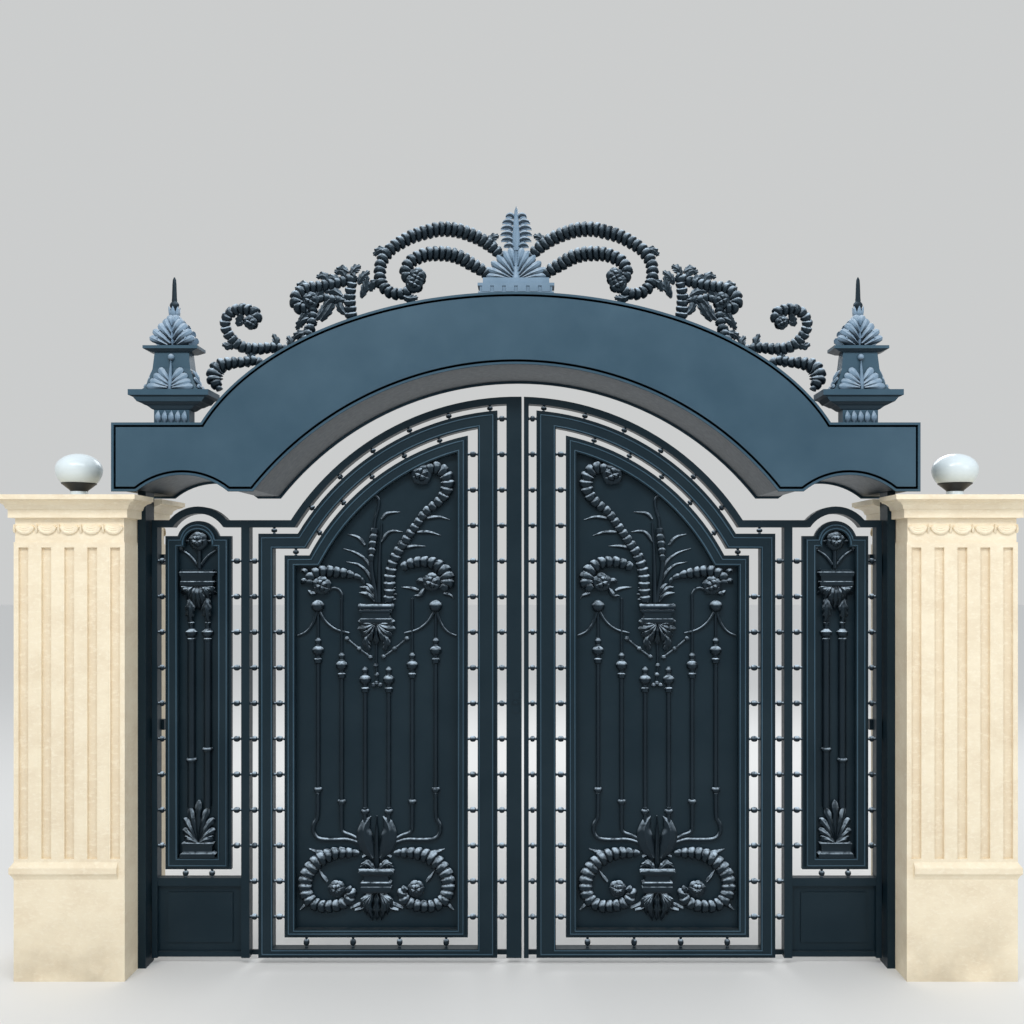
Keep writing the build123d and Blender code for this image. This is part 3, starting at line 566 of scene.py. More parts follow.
sink = mathNode(ribTree, "MULTIPLY", mathNode(ribTree, "MULTIPLY", groove, given.outputs["Rib Depth"]), thick)
inward = addNode(ribTree, "ShaderNodeVectorMath", operation="SCALE")
link(ribTree, addNode(ribTree, "GeometryNodeInputNormal").outputs[0], inward.inputs[0])
link(ribTree, mathNode(ribTree, "MULTIPLY", sink, -1.0), inward.inputs["Scale"])
carved = addNode(ribTree, "GeometryNodeSetPosition", (0, 0))
link(ribTree, skin.outputs[0], carved.inputs[0])
link(ribTree, inward.outputs[0], carved.inputs["Offset"])
spot = addNode(ribTree, "ShaderNodeSeparateXYZ")
link(ribTree, addNode(ribTree, "GeometryNodeInputPosition").outputs[0], spot.inputs[0])
pressed = mathNode(ribTree, "SUBTRACT", spot.outputs[1], given.outputs["Depth"])
pressed = mathNode(ribTree, "MULTIPLY_ADD", pressed, given.outputs["Flatten"], given.outputs["Depth"])
moved = addNode(ribTree, "ShaderNodeCombineXYZ")
for index, value in enumerate((spot.outputs[0], pressed, spot.outputs[2])):
    link(ribTree, value, moved.inputs[index])
flat = addNode(ribTree, "GeometryNodeSetPosition", (400, 0))
link(ribTree, carved.outputs[0], flat.inputs[0])
link(ribTree, moved.outputs[0], flat.inputs["Position"])
endTree(ribTree, given, result, flat.outputs[0])

pointTree, given, result = geometryTree("turnedOnPoints", [
    ("Piece", "Object", None), ("Thickness", "Float", 1.0)])
shape = addNode(pointTree, "GeometryNodeObjectInfo", (-900, -300))
link(pointTree, given.outputs["Piece"], shape.inputs["Object"])
direction = addNode(pointTree, "GeometryNodeInputNamedAttribute", (-900, -500), data_type="FLOAT_VECTOR")
direction.inputs["Name"].default_value = "direction"
stretch = addNode(pointTree, "GeometryNodeInputNamedAttribute", (-900, -700), data_type="FLOAT")
stretch.inputs["Name"].default_value = "stretch"
aligned = addNode(pointTree, "FunctionNodeAlignRotationToVector", (-600, -500), axis="X")
link(pointTree, direction.outputs[0], aligned.inputs["Vector"])
sized = addNode(pointTree, "ShaderNodeCombineXYZ", (-600, -700))
for index, value in enumerate((stretch.outputs[0], given.outputs["Thickness"], given.outputs["Thickness"])):
    link(pointTree, value, sized.inputs[index])
placed = addNode(pointTree, "GeometryNodeInstanceOnPoints", (-200, 0))
link(pointTree, given.outputs["Geometry"], placed.inputs["Points"])
link(pointTree, shape.outputs["Geometry"], placed.inputs["Instance"])
link(pointTree, aligned.outputs[0], placed.inputs["Rotation"])
link(pointTree, sized.outputs[0], placed.inputs["Scale"])
endTree(pointTree, given, result, placed.outputs[0])

beadTree, given, result = geometryTree("roundBead", [("Radius", "Float", 0.003), ("Sides", "Int", 8)])
circle = addNode(beadTree, "GeometryNodeCurvePrimitiveCircle", (-700, -300))
link(beadTree, given.outputs["Radius"], circle.inputs["Radius"])
link(beadTree, given.outputs["Sides"], circle.inputs["Resolution"])
skin = addNode(beadTree, "GeometryNodeCurveToMesh", (-300, 0))
link(beadTree, given.outputs["Geometry"], skin.inputs["Curve"])
link(beadTree, circle.outputs["Curve"], skin.inputs["Profile Curve"])
endTree(beadTree, given, result, skin.outputs[0])


def hostFor(name, data):
    host = bpy.data.objects.new(name, data)
    bpy.context.scene.collection.objects.link(host)
    return host


def grown(host, tree, values, name):
    # Runs the node tree on the host object and keeps the result as a plain mesh
    modifier = host.modifiers.new("grow", "NODES")
    modifier.node_group = tree
    for item in tree.interface.items_tree:
        if item.in_out == "INPUT" and item.name in values:
            modifier[item.identifier] = values[item.name]
    bpy.context.view_layer.update()
    graph = bpy.context.evaluated_depsgraph_get()
    mesh = bpy.data.meshes.new_from_object(host.evaluated_get(graph))
    mesh.name = name
    bpy.data.objects.remove(host)
    mesh.shade_smooth()
    return mesh


ribs = {"pitch": 0.030, "depth": 0.42, "slant": 0.16, "flatten": 0.8, "fullness": 1.12, "step": 0.0026,
        "sides": 22}


def scrollMesh(routes, depth, name, flatten=ribs["flatten"], pitch=ribs["pitch"], slant=ribs["slant"]):
    # Each route lists points (x, z) and radii spread evenly over them
    data = bpy.data.curves.new(name, "CURVE")
    data.dimensions = "3D"
    for points, radii in routes:
        line = data.splines.new("BEZIER")
        line.bezier_points.add(len(points) - 1)
        line.resolution_u = 24
        for index, (x, z) in enumerate(points):
            knot = line.bezier_points[index]
            knot.co = (x, depth, z)
            knot.handle_left_type = "AUTO"
            knot.handle_right_type = "AUTO"
            knot.radius = ribs["fullness"] * between(radii, index / (len(points) - 1))
    values = {"Rib Pitch": pitch, "Rib Depth": ribs["depth"], "Slant": slant, "Flatten": flatten,
              "Depth": depth, "Step": ribs["step"], "Sides": ribs["sides"], "Material": iron}
    mesh = grown(hostFor(name, data), ribTree, values, name)
    mesh.set_sharp_from_angle(angle=math.radians(50))
    return mesh


def pointsMesh(spots, pieceMesh, name, material, thickness=1.0):
    # Each spot holds a place, a direction and a length
    cloud = bpy.data.meshes.new(name + "Points")
    cloud.from_pydata([spot[0] for spot in spots], [], [])
    cloud.attributes.new("direction", "FLOAT_VECTOR", "POINT")
    cloud.attributes.new("stretch", "FLOAT", "POINT")
    for index, spot in enumerate(spots):
        cloud.attributes["direction"].data[index].vector = spot[1]
        cloud.attributes["stretch"].data[index].value = spot[2]
    pattern = hostFor(name + "Pattern", pieceMesh)
    values = {"Piece": pattern, "Thickness": thickness, "Material": material}
    mesh = grown(hostFor(name, cloud), pointTree, values, name)
    bpy.data.objects.remove(pattern)
    mesh.set_sharp_from_angle(angle=math.radians(40))
    return mesh


# Materials on the carried-over nodes
looks = {"travertine": masonry, "gate_paint": paint, "cast_ornament": iron, "lamp_foot": foot,
         "opal_globe": opal}
slots = {item["node"]: item["material_slot"] for item in frame["record"]["subparts"]}
for nodeName, nodeObject in frame["nodes"].items():
    look = pale if nodeName.startswith("header") or "pedestal" in nodeName else looks[slots[nodeName]]
    nodeObject.data.materials.clear()
    nodeObject.data.materials.append(look)
print("frame dressed")

# Turned collars that tie the frames together: rows hold x0, x1, low and high, uprights hold x, z0 and z1
collars = {"depth": -0.027, "first": 0.196, "pitch": 0.151, "radius": 0.0125, "archPitch": 9.3,
           "rightStile": 0.050, "leftStile": 0.044,
           "rows": [(0.165, 0.208, 0.11, 2.238), (0.985, 1.030, 0.11, 1.730),
                    (1.095, 1.132, 0.025, 1.822), (1.167, 1.210, 0.399, 1.812),
                    (1.490, 1.522, 0.399, 1.812)],
           "uprights": [(0.300, 0.066, 0.110), (0.4977, 0.066, 0.110), (0.6953, 0.066, 0.110),
                        (0.893, 0.066, 0.110), (1.294, 0.363, 0.399), (1.406, 0.363, 0.399),
                        (0.938, 1.730, 1.758), (1.030, 1.822, 1.849)],
           "arches": [(6, 6, 1.0821, 1.1071), (5, 19, 0.9951, 1.0181)]}
collarProfile = [(-0.5, 0.5), (-0.42, 0.5), (-0.36, 0.38), (-0.3, 0.38), (-0.24, 0.8), (-0.1, 1.0),
                 (0.1, 1.0), (0.24, 0.8), (0.3, 0.38), (0.36, 0.38), (0.42, 0.5), (0.5, 0.5)]
build = newBuild()
lathe(build, (0, 0, 0), [(along, collars["radius"] * radius) for along, radius in collarProfile], 14, "X")
collarPattern = meshFrom(build, "collarPattern")


def collarSpots(stile):
    spots = []
    for x0, x1, low, high in [(stile, 0.083, 0.025, 2.343)] + collars["rows"]:
        z = collars["first"]
        while z + 0.03 < high:
            if z - 0.015 > low:
                spots.append((((x0 + x1) / 2, collars["depth"], z), (1, 0, 0), x1 - x0))
            z += collars["pitch"]
    for x, z0, z1 in collars["uprights"]:
        spots.append(((x, collars["depth"], (z0 + z1) / 2), (0, 0, 1), z1 - z0))
    for count, start, low, high in collars["arches"]:
        for index in range(count):
            angle = math.radians(start + index * collars["archPitch"])
            way = Vector((math.sin(angle), 0, math.cos(angle)))
            middle = way * ((low + high) / 2) + Vector((0, collars["depth"], leaf["archCentre"]))
            spots.append((tuple(middle), tuple(way), high - low))
    return spots


rightCollars = pointsMesh(collarSpots(collars["rightStile"]), collarPattern, "rightCollars", iron)
addPiece("rightCollars", rightCollars, iron, "right_leaf", ["right_collars"])
leftCollars = pointsMesh(collarSpots(collars["leftStile"]), collarPattern, "leftCollars", iron)
leftCollars.transform(Matrix.Scale(-1, 4, (1, 0, 0)))
leftCollars.flip_normals()
addPiece("leftCollars", leftCollars, iron, "left_leaf", ["left_collars"])
print("collars placed")

# Raised beads that follow both edges of the frames' front faces
beads = {"inset": 0.0065, "radius": 0.0036, "sides": 8, "shortest": 0.002}


def frontLoops(nodeName):
    # Outlines of the faces that lie furthest forward, all with the metal on the same hand
    mesh = frame["nodes"][nodeName].data
    front = min(vertex.co.y for vertex in mesh.vertices)
    edges = set()
    for polygon in mesh.polygons:
        points = [mesh.vertices[index].co for index in polygon.vertices]
        if max(point.y for point in points) - front < 1e-4:
            corners = [(round(point.x, 5), round(point.z, 5)) for point in points]
            edges.update(zip(corners, corners[1:] + corners[:1]))
    after = {start: end for start, end in sorted(edges) if (end, start) not in edges}
    loops = []
    while after:
        start, point = after.popitem()
        loop = [start]
        while point != start:
            loop.append(point)
            point = after.pop(point)
        loops.append(loop)
    return front, loops


def movedIn(loop, inset):
    # Corners keep their angle, and points too close to the last one are dropped
    points = [Vector(point) for index, point in enumerate(loop)
              if (Vector(point) - Vector(loop[index - 1])).length > beads["shortest"]]
    moved = []
    for index, point in enumerate(points):
        arriving = (point - points[index - 1]).normalized()
        leaving = (points[(index + 1) % len(points)] - point).normalized()
        mitre = Vector((-arriving.y - leaving.y, arriving.x + leaving.x)).normalized()
        moved.append(point + mitre * inset / max(mitre.dot(Vector((-arriving.y, arriving.x))), 0.3))
    return moved


beadLines = bpy.data.curves.new("beadLines", "CURVE")
beadLines.dimensions = "3D"
for nodeName in ("right_moulded_frame", "right_panel_frame", "right_side_frame"):
    front, loops = frontLoops(nodeName)
    areas = [sum(a[0] * b[1] - b[0] * a[1] for a, b in zip(loop, loop[1:] + loop[:1])) for loop in loops]
    hand = 1 if max(areas, key=abs) > 0 else -1
    for loop in loops:
        points = movedIn(loop, hand * beads["inset"])
        line = beadLines.splines.new("POLY")
        line.points.add(len(points) - 1)
        for knot, point in zip(line.points, points):
            knot.co = (point.x, front, point.y, 1)
        line.use_cyclic_u = True
# The beads take the paler header paint, a painted highlight along the frame edges
beadMesh = grown(hostFor("beads", beadLines), beadTree,
                 {"Radius": beads["radius"], "Sides": beads["sides"], "Material": pale}, "beads")
bothSides("beads", beadMesh, pale, leafBodies)
print("beads laid")

# Lamps: a flattened opal globe in a dark cone cup on a pale neck
lamp = {"place": 1.871, "seat": 1.971, "globeLow": 2.038, "cup": 0.070, "radius": 0.095, "above": 0.068,
        "below": 0.086}
start = math.acos(lamp["cup"] / lamp["radius"])
centre = lamp["globeLow"] + lamp["below"] * math.sin(start)
globeProfile = []
for index in range(15):
    angle = start * (1 - index / 14)
    globeProfile.append((centre - lamp["below"] * math.sin(angle), lamp["radius"] * math.cos(angle)))
for index in range(1, 22):
    angle = math.radians(88.5 * index / 21)
    globeProfile.append((centre + lamp["above"] * math.sin(angle), lamp["radius"] * math.cos(angle)))
cupProfile = [(0.031, 0.0335), (0.034, 0.0355), (0.037, 0.0370), (0.048, 0.0505), (0.060, 0.0650),
              (0.063, 0.0700), (0.0668, 0.0712), (0.0672, 0.0690)]
neckProfile = [(0, 0.043), (0.004, 0.043), (0.006, 0.040), (0.010, 0.0365), (0.030, 0.0355), (0.032, 0.0345)]
for name, profile, low, sides, sharp, material, slotName, nodes in (
        ("globe", globeProfile, 0, 48, 60, opal, "opal_globe", ["lamp_globe"]),
        ("lampCup", cupProfile, lamp["seat"], 48, 38, foot, "lamp_foot", ["lamp_base"]),
        ("lampNeck", neckProfile, lamp["seat"], 40, 38, opal, "opal_globe", [])):
    build = newBuild()
    lathe(build, (lamp["place"], 0, low), profile, sides)
    bothSides(name, meshFrom(build, name, sharp), material, gatewayBodies, nodes)

# Header's front plate with a groove inside its border
header = {"half": 1.641, "low": 1.987, "shoulder": 2.267, "front": -0.225, "border": 0.010,
          "groove": 0.012, "line": 0.008, "archRadius": 1.35706, "archCentre": 1.14594,
          "outerHalf": 1.370, "outerCentre": 1.967, "sag": 0.830, "scallopPlace": 1.353,
          "scallopRadius": 0.29168, "scallopCentre": 1.76232}


def headerOutline(inset):
    end, low, high = header["half"] - inset, header["low"] + inset, header["shoulder"] - inset
    across, up, centre = header["outerHalf"] - inset, header["sag"] - inset, header["outerCentre"]
    start = math.asin((high - centre) / up)
    points = []
    for index in range(97):
        angle = math.pi - start - (math.pi - 2 * start) * index / 96
        points.append((across * math.cos(angle), centre + up * math.sin(angle)))
    points += [(end, high), (end, low)]
    scallop = (header["scallopCentre"], header["scallopRadius"] + inset, 16)
    for middle, centre, radius, count in ((header["scallopPlace"], *scallop),
                                          (0, header["archCentre"], header["archRadius"] + inset, 80),
                                          (-header["scallopPlace"], *scallop)):
        half = math.acos((low - centre) / radius)
        for index in range(count + 1):
            angle = half - 2 * half * index / count
            points.append((middle + radius * math.sin(angle), centre + radius * math.cos(angle)))
    return points + [(-end, low), (-end, high)]


border, groove, line = header["border"], header["groove"], header["line"]
steps = [(0, 0.006), (0, 0.001), (0.001, 0), (border, 0), (border + 0.001, groove), (border + line, groove),
         (border + line + 0.001, 0.001), (border + line + 0.002, 0)]
build = newBuild()
addTube(build, [[Vector((a, header["front"] + depth, b)) for a, b in headerOutline(inset)]
                for inset, depth in steps])
plateMesh = meshFrom(build, "headerPlate", 30)
addPiece("headerPlate", plateMesh, pale, "gateway", ["header_front_plate"])
print("lamps and header plate done")

# Reeds of the main panel: rods that gather into the urn, with knops, collars, balls and whiskers.
# Each kind of rod lists its bends out from the middle and up, how far its collar is over the panel's foot,
# how far its knop is under the vase's top, and where its tip ends.
reeds = {"pitch": 0.1, "middle": 0.595, "vaseTop": 1.524, "low": 0.147, "radius": 0.0088, "tipRadius": 0.0058}
rodKinds = [
    ([(0.050, 0.66), (0.050, 0.56), (0.043, 0.515), (0.020, 0.46)], 0.494, 0.328, None),
    ([(0.150, 0.68), (0.150, 0.590), (0.145, 0.556), (0.108, 0.540), (0.071, 0.521), (0.036, 0.508),
      (0.010, 0.478)], 0.535, 0.267, 1.548),
    ([(0.250, 0.72), (0.252, 0.620), (0.266, 0.590), (0.270, 0.560), (0.255, 0.532), (0.225, 0.523),
      (0.170, 0.522), (0.126, 0.5225), (0.080, 0.510), (0.044, 0.495), (0.014, 0.464)], 0.587, 0.204, 1.50)]
knopProfile = [(-0.05, 0.009), (-0.046, 0.0165), (-0.030, 0.0165), (-0.026, 0.010), (-0.015, 0.010),
               (-0.009, 0.020), (-0.002, 0.0245), (0.011, 0.0245), (0.018, 0.020), (0.024, 0.010),
               (0.032, 0.008), (0.037, 0.012), (0.044, 0.0135), (0.051, 0.012), (0.056, 0.007),
               (0.060, 0.006)]
footCollar = [(-0.010, 0.009), (-0.008, 0.0155), (-0.003, 0.018), (0.003, 0.018), (0.008, 0.0155),
              (0.010, 0.009)]
ballProfile = [(-0.027, 0.006), (-0.024, 0.013), (-0.016, 0.023), (-0.006, 0.0275), (0.004, 0.0275),
               (0.013, 0.023), (0.021, 0.013), (0.025, 0.005)]
middle, vaseTop = reeds["middle"], reeds["vaseTop"]
rod, tip, depth = reeds["radius"], reeds["tipRadius"], sheet - 0.006
build = newBuild()
for index, (bends, collarUp, knopDown, top) in enumerate(rodKinds):
    knopZ = vaseTop - knopDown
    for side in (-1, 1):
        x = middle + side * reeds["pitch"] * (index + 0.5)
        addRod(build, [(x, depth, bends[0][1] - 0.005), (x, depth, knopZ - 0.045)], (rod, rod), 2, 12)
        addRod(build, [(middle + side * a, depth - 0.003, b) for a, b in bends], (rod, 0.0062), 44, 12)
        lathe(build, (x, depth, reeds["low"] + collarUp), footCollar, 16)
        lathe(build, (x, depth, knopZ), knopProfile, 20)
        if index == 1 and side > 0:
            hook = [(0, -0.02), (-0.001, 0.012), (0.012, 0.036), (0.034, 0.043), (0.052, 0.034),
                    (0.060, 0.018)]
            addRod(build, [(x + a, depth, top + b) for a, b in hook], (tip, 0.0045), 20)
        if top:
            addRod(build, [(x, depth, knopZ + 0.05), (x, depth, top)], (tip, tip), 2)
        if index == 2:
            ball = vaseTop - 0.009
            lathe(build, (x, depth - 0.006, ball), ballProfile)
            for droop in (-1, 1):
                reach, fall = (0.086, -0.127) if droop == side else (0.132, -0.116)
                whisker = [(0.004, -0.004, -0.022), (reach * 0.25, -0.003, 0.58 * fall),
                           (reach * 0.57, -0.002, 0.86 * fall), (reach, 0, fall)]
                whisker = [(x + droop * a, depth + b, ball + c) for a, b, c in whisker]
                addRod(build, whisker, (0.0062, 0.0045), 20)
bothSides("reeds", meshFrom(build, "reeds"), iron, leafBodies, ["reeds"])

# Ram's-horn scrolls of the main panel, with their flowers, stems, grass blades and sprigs
hornDepth = sheet - 0.013
horns = {"tall": ([(-50, 6), (-54, 60), (-58, 130), (-80, 200), (-128, 276), (-168, 334), (-212, 392),
                   (-262, 432), (-294, 476), (-300, 524), (-280, 562), (-246, 576), (-208, 566)],
                  (0.021, 0.025, 0.024, 0.022, 0.020, 0.019, 0.019, 0.022, 0.026, 0.029, 0.029, 0.028,
                   0.020)),
         "leftCurl": ([(-104, 152), (-145, 170), (-200, 178), (-248, 168), (-282, 144), (-298, 112),
                       (-298, 82), (-280, 58)], (0.018, 0.023, 0.024, 0.027, 0.030, 0.032, 0.029, 0.016)),
         "rightCurl": ([(52, 84), (64, 106), (92, 118), (130, 127), (172, 133), (214, 138), (252, 132),
                        (280, 112), (284, 88)],
                       (0.007, 0.008, 0.012, 0.021, 0.025, 0.025, 0.025, 0.023, 0.016)),
         "bud": ([(8, 324), (15, 271), (21, 221), (24, 178)], (0.015, 0.018, 0.017, 0.010))}
flowers = [(-190, 548, 0.046), (-234, 92, 0.040), (232, 78, 0.040)]
stems = [([(-9, 6), (-10, 120), (-11, 181), (-13, 241), (-17, 290), (-20, 345)], (0.0115, 0.0035)),
         ([(12, 318), (7, 361), (-3, 396), (-9, 431), (-3, 451), (12, 460), (27, 456), (31, 444)],
          (0.0068, 0.0055)), ([(24, 180), (20, 130), (8, 60), (0, 8)], (0.010, 0.010))]
blades = [[(52, 249), (80, 281), (125, 297)], [(17, 121), (45, 181), (90, 216), (145, 236)],
          [(20, 91), (45, 136), (80, 166), (130, 179)], [(-20, 264), (-45, 299), (-70, 309), (-110, 306)],
          [(-20, 360), (-45, 384), (-98, 391)], [(-205, 362), (-260, 369), (-310, 358)],
          [(-172, 304), (-220, 304), (-272, 291)], [(-112, 236), (-155, 244), (-205, 246)],
          [(-284, 44), (-312, 36), (-326, 22)], [(-176, 56), (-145, 66), (-104, 71)]]
sprigs = [[(-36, 40), (-60, 62), (-80, 70)], [(-36, 24), (-62, 38), (-86, 42)],
          [(-38, 6), (-62, 16), (-82, 20)], [(10, 44), (30, 74), (44, 86)],
          [(12, 34), (40, 64), (72, 72)], [(10, 10), (34, 38), (76, 48)],
          [(-204, 66), (-184, 36), (-160, 36)], [(-206, 92), (-186, 100), (-166, 88)],
          [(292, 126), (308, 142), (324, 138)], [(292, 100), (310, 98), (324, 84)],
          [(258, 46), (276, 44), (292, 58)]]


def flatRoute(points, level, side=1):
    return [(middle + side * a / 1000, level + b / 1000) for a, b in points]


hornMesh = scrollMesh([(flatRoute(points, vaseTop), radii) for points, radii in horns.values()], hornDepth,
                      "upperHorns")
build = newBuild()
for a, b, radius in flowers:
    addRose(build, onSheet([(a, b)], middle, vaseTop, 10)[0], radius, 0.024, 5, 0.4)
for points, radii in stems:
    addRod(build, onSheet(points, middle, vaseTop, 8), radii, 40)
for points in blades:
    addLeaf(build, onSheet(points, middle, vaseTop, 2), 0.0085, 0.009, bladeShape, rows=16, cols=3)
for points in sprigs:
    addLeaf(build, onSheet(points, middle, vaseTop, (6, 14, 6)), 0.0105, 0.012, rows=14)
upperMesh = joined("upperScrolls", hornMesh, meshFrom(build, "upperExtras"))
bothSides("upperScrolls", upperMesh, iron, leafBodies, ["upper_scrolls"])

# Vase: a rolled top, a square block, fronds below it, a tassel and two beaded festoons
vase = {"rollRadius": 0.0125, "rollHalf": 70, "frondWidth": 0.012, "festoon": 0.0042,
        "block": [(0, 0.052), (0.006, 0.060), (0.010, 0.067), (0.020, 0.067), (0.022, 0.061), (0.034, 0.056),
                  (0.046, 0.061), (0.048, 0.069), (0.058, 0.069)],
        "fronds": (0.078, 0.088, 0.096, 0.10, 0.105, 0.10, 0.096, 0.088, 0.078),
        "tassel": [(-28, 1298), (28, 1296), (4, 1262), (0, 1222), (0, 1186), (-14, 1178), (14, 1178)]}
drop = [(-0.010, 0.003), (-0.007, 0.008), (0, 0.0105), (0.007, 0.008), (0.010, 0.003)]
knob = [(-0.010, 0.006), (-0.007, 0.012), (0.0, 0.015), (0.007, 0.012), (0.010, 0.006)]


def addDrops(build, places, x, proud, side=1, sides=14):
    for place in onSheet(places, x, 0, proud, side):
        lathe(build, place, drop, sides)


build = newBuild()
roll = onSheet([(-vase["rollHalf"], 1511), (vase["rollHalf"], 1511)], middle, 0, 22)
addRod(build, roll, (vase["rollRadius"], vase["rollRadius"]), 2, 16)
for side in (-1, 1):
    lathe(build, onSheet([(68, 1511)], middle, 0, 22, side)[0], knob, 16, "X")
addBlock(build, middle, sheet - 0.014, 1.441, 0.42, vase["block"])
for index, reach in enumerate(vase["fronds"]):
    angle = math.radians(-86 + 21.5 * index)
    base = Vector((middle, sheet - 0.012, 1.444))
    way = Vector((math.sin(angle), 0, -math.cos(angle)))
    spine = [base, base + way * (reach * 0.5) + Vector((0, -0.014, 0)),
             base + way * reach + Vector((0, -0.002, 0.012))]
    addLeaf(build, spine, vase["frondWidth"], 0.014, frondShape, 2, rows=14)
addRod(build, onSheet([(0, 1400), (3, 1290), (-2, 1190)], middle, 0, 8), (0.006, 0.004), 12)
addDrops(build, vase["tassel"], middle, 10)
for side in (-1, 1):
    festoon = onSheet([(125, 1374), (72, 1330), (28, 1298)], middle, 0, 6, side)
    addRod(build, festoon, (vase["festoon"], vase["festoon"]), 12, 8)
    addDrops(build, [(127, 1375), (75, 1332)], middle, 8, side)
    handle = onSheet([(30, 1400), (44, 1365), (30, 1320)], middle, 0, (4, 16, 10), side)
    addLeaf(build, handle, 0.017, 0.014, lobes=3, relief=0.6, rows=16)
bothSides("vase", meshFrom(build, "vase"), iron, leafBodies, ["vase"])

# Paired volutes at the panel's foot round a small urn, with petals that rise from it
volute = {"route": [(71, 318), (108, 319), (159, 318), (205, 308), (244, 287), (274, 259), (295, 227),
                    (304, 183), (300, 147), (279, 114), (237, 94), (191, 93), (149, 102), (119, 122),
                    (108, 151), (124, 174)],
          "radii": (0.009, 0.021, 0.026, 0.030, 0.032, 0.032, 0.031, 0.030, 0.029, 0.0275, 0.0265, 0.026,
                    0.025, 0.024, 0.022, 0.014),
          "tips": [[(228, 318), (262, 324), (288, 336)], [(300, 100), (316, 84), (328, 76)],
                   [(60, 300), (36, 312), (18, 300)], [(212, 196), (232, 220), (246, 246)],
                   [(110, 84), (60, 106), (12, 146)], [(92, 76), (60, 84), (30, 110)]],
          "petal": [(16, 300), (42, 350), (53, 395), (50, 435), (26, 474)],
          "urn": [(0, 0.044), (0.006, 0.058), (0.016, 0.064), (0.026, 0.064), (0.030, 0.058),
                  (0.034, 0.064), (0.046, 0.064), (0.050, 0.054), (0.070, 0.050), (0.078, 0.058),
                  (0.084, 0.072), (0.092, 0.074), (0.098, 0.066)]}
low = reeds["low"]
hornMesh = scrollMesh([(flatRoute(volute["route"], low, side), volute["radii"]) for side in (-1, 1)],
                      hornDepth, "voluteHorns")
build = newBuild()
for side in (-1, 1):
    addRose(build, onSheet([(168, 170)], middle, low, 10, side)[0], 0.036, 0.022, 6, 0.2)
    for points in volute["tips"]:
        addLeaf(build, onSheet(points, middle, low, 3, side), 0.009, 0.010, bladeShape, rows=12, cols=3)
    petal = onSheet(volute["petal"], middle, low, (2, 6, 8, 6, 2), side)
    addLeaf(build, petal, 0.034, 0.020, rows=26, cols=7)
    cup = onSheet([(8, 250), (40, 278), (70, 262)], middle, low, (6, 16, 10), side)
    addLeaf(build, cup, 0.014, 0.013, lobes=3, relief=0.6, rows=16)
    for a, b in ((18, 30), (44, 54), (66, 80)):
        start, end = (Vector(place) for place in onSheet([(16, 150), (a, b)], middle, low, (8, 4), side))
        bend = (start + end) / 2 + Vector((side * 0.014, -0.014, 0.006))
        addLeaf(build, [start, bend, end], 0.014, 0.013, lobes=3, relief=0.6, rows=14)
pendant = onSheet([(0, 146), (0, 90), (0, 30)], middle, low, (6, 14, 4))
addLeaf(build, pendant, 0.016, 0.014, lobes=3, relief=0.6, rows=20)
spear = onSheet([(0, 245), (0, 360), (0, 420), (0, 476)], middle, low, (4, 14, 12, 3))
addLeaf(build, spear, 0.012, 0.014, bladeShape)
addBlock(build, middle, sheet - 0.012, low + 0.153, 0.40, volute["urn"])
addRod(build, onSheet([(-74, 246), (74, 246)], middle, low, 20), (0.008, 0.008), 2, 14)
voluteMesh = joined("volutes", hornMesh, meshFrom(build, "voluteExtras"))
bothSides("volutes", voluteMesh, iron, leafBodies, ["volutes"])
print("main panel ornament done")

# Side panel: rosette, arms, capital with leaves, two columns, palmette on a plinth
sidePanel = {"middle": 1.350, "columnRadius": 0.0165, "columns": [(-0.036, 0.905), (0.033, 0.860)],
             "capital": [(0, 0.058), (0.006, 0.070), (0.020, 0.070), (0.023, 0.064), (0.044, 0.066),
                         (0.047, 0.072), (0.060, 0.074), (0.063, 0.068), (0.070, 0.068)],
             "leaves": [(-70, 28, 1588), (-44, 66, 1600), (-20, 96, 1600), (20, 96, 1600), (44, 66, 1600),
                        (70, 28, 1588), (0, 104, 1600)],
             "knop": [(-0.034, 0.012), (-0.032, 0.0165), (-0.022, 0.0165), (-0.019, 0.013), (-0.012, 0.013),
                      (-0.008, 0.022), (0.0, 0.025), (0.008, 0.024), (0.014, 0.016), (0.020, 0.010),
                      (0.034, 0.009), (0.038, 0.012), (0.046, 0.012), (0.050, 0.008)],
             "plinth": [(0, 0.074), (0.014, 0.074), (0.018, 0.068), (0.022, 0.062), (0.050, 0.062),
                        (0.054, 0.067), (0.060, 0.067)],
             "fronds": (0.088, 0.110, 0.135, 0.158, 0.180, 0.158, 0.135, 0.110, 0.088)}
sideX = sidePanel["middle"]
build = newBuild()
addRose(build, onSheet([(0, 1790)], sideX, 0, 10)[0], 0.040, 0.024, 6, 0.3)
addRod(build, onSheet([(-88, 1790), (88, 1790)], sideX, 0, 8), (0.0055, 0.0055), 2)
addRod(build, onSheet([(0, 1760), (0, 1675)], sideX, 0, 8), (0.009, 0.011), 4, 12)
for side in (-1, 1):
    arm = onSheet([(80, 1756), (40, 1728), (10, 1690)], sideX, 0, (6, 10, 8), side)
    addRod(build, arm, (0.004, 0.007), 12)
    addDrops(build, [(80, 1758), (86, 1790)], sideX, 8, side, 12)
addBlock(build, sideX, sheet - 0.014, 1.598, 0.42, sidePanel["capital"])
for reach, fall, level in sidePanel["leaves"]:
    places = onSheet([(reach / 3, level), (reach, level - fall)], sideX, 0, (10, 6))
    start, end = (Vector(place) for place in places)
    bend = (start + end) / 2 + Vector((reach / 9000, -0.022, 0.012))
    addLeaf(build, [start, bend, end], 0.017, 0.014, lobes=3, relief=0.6, rows=16)
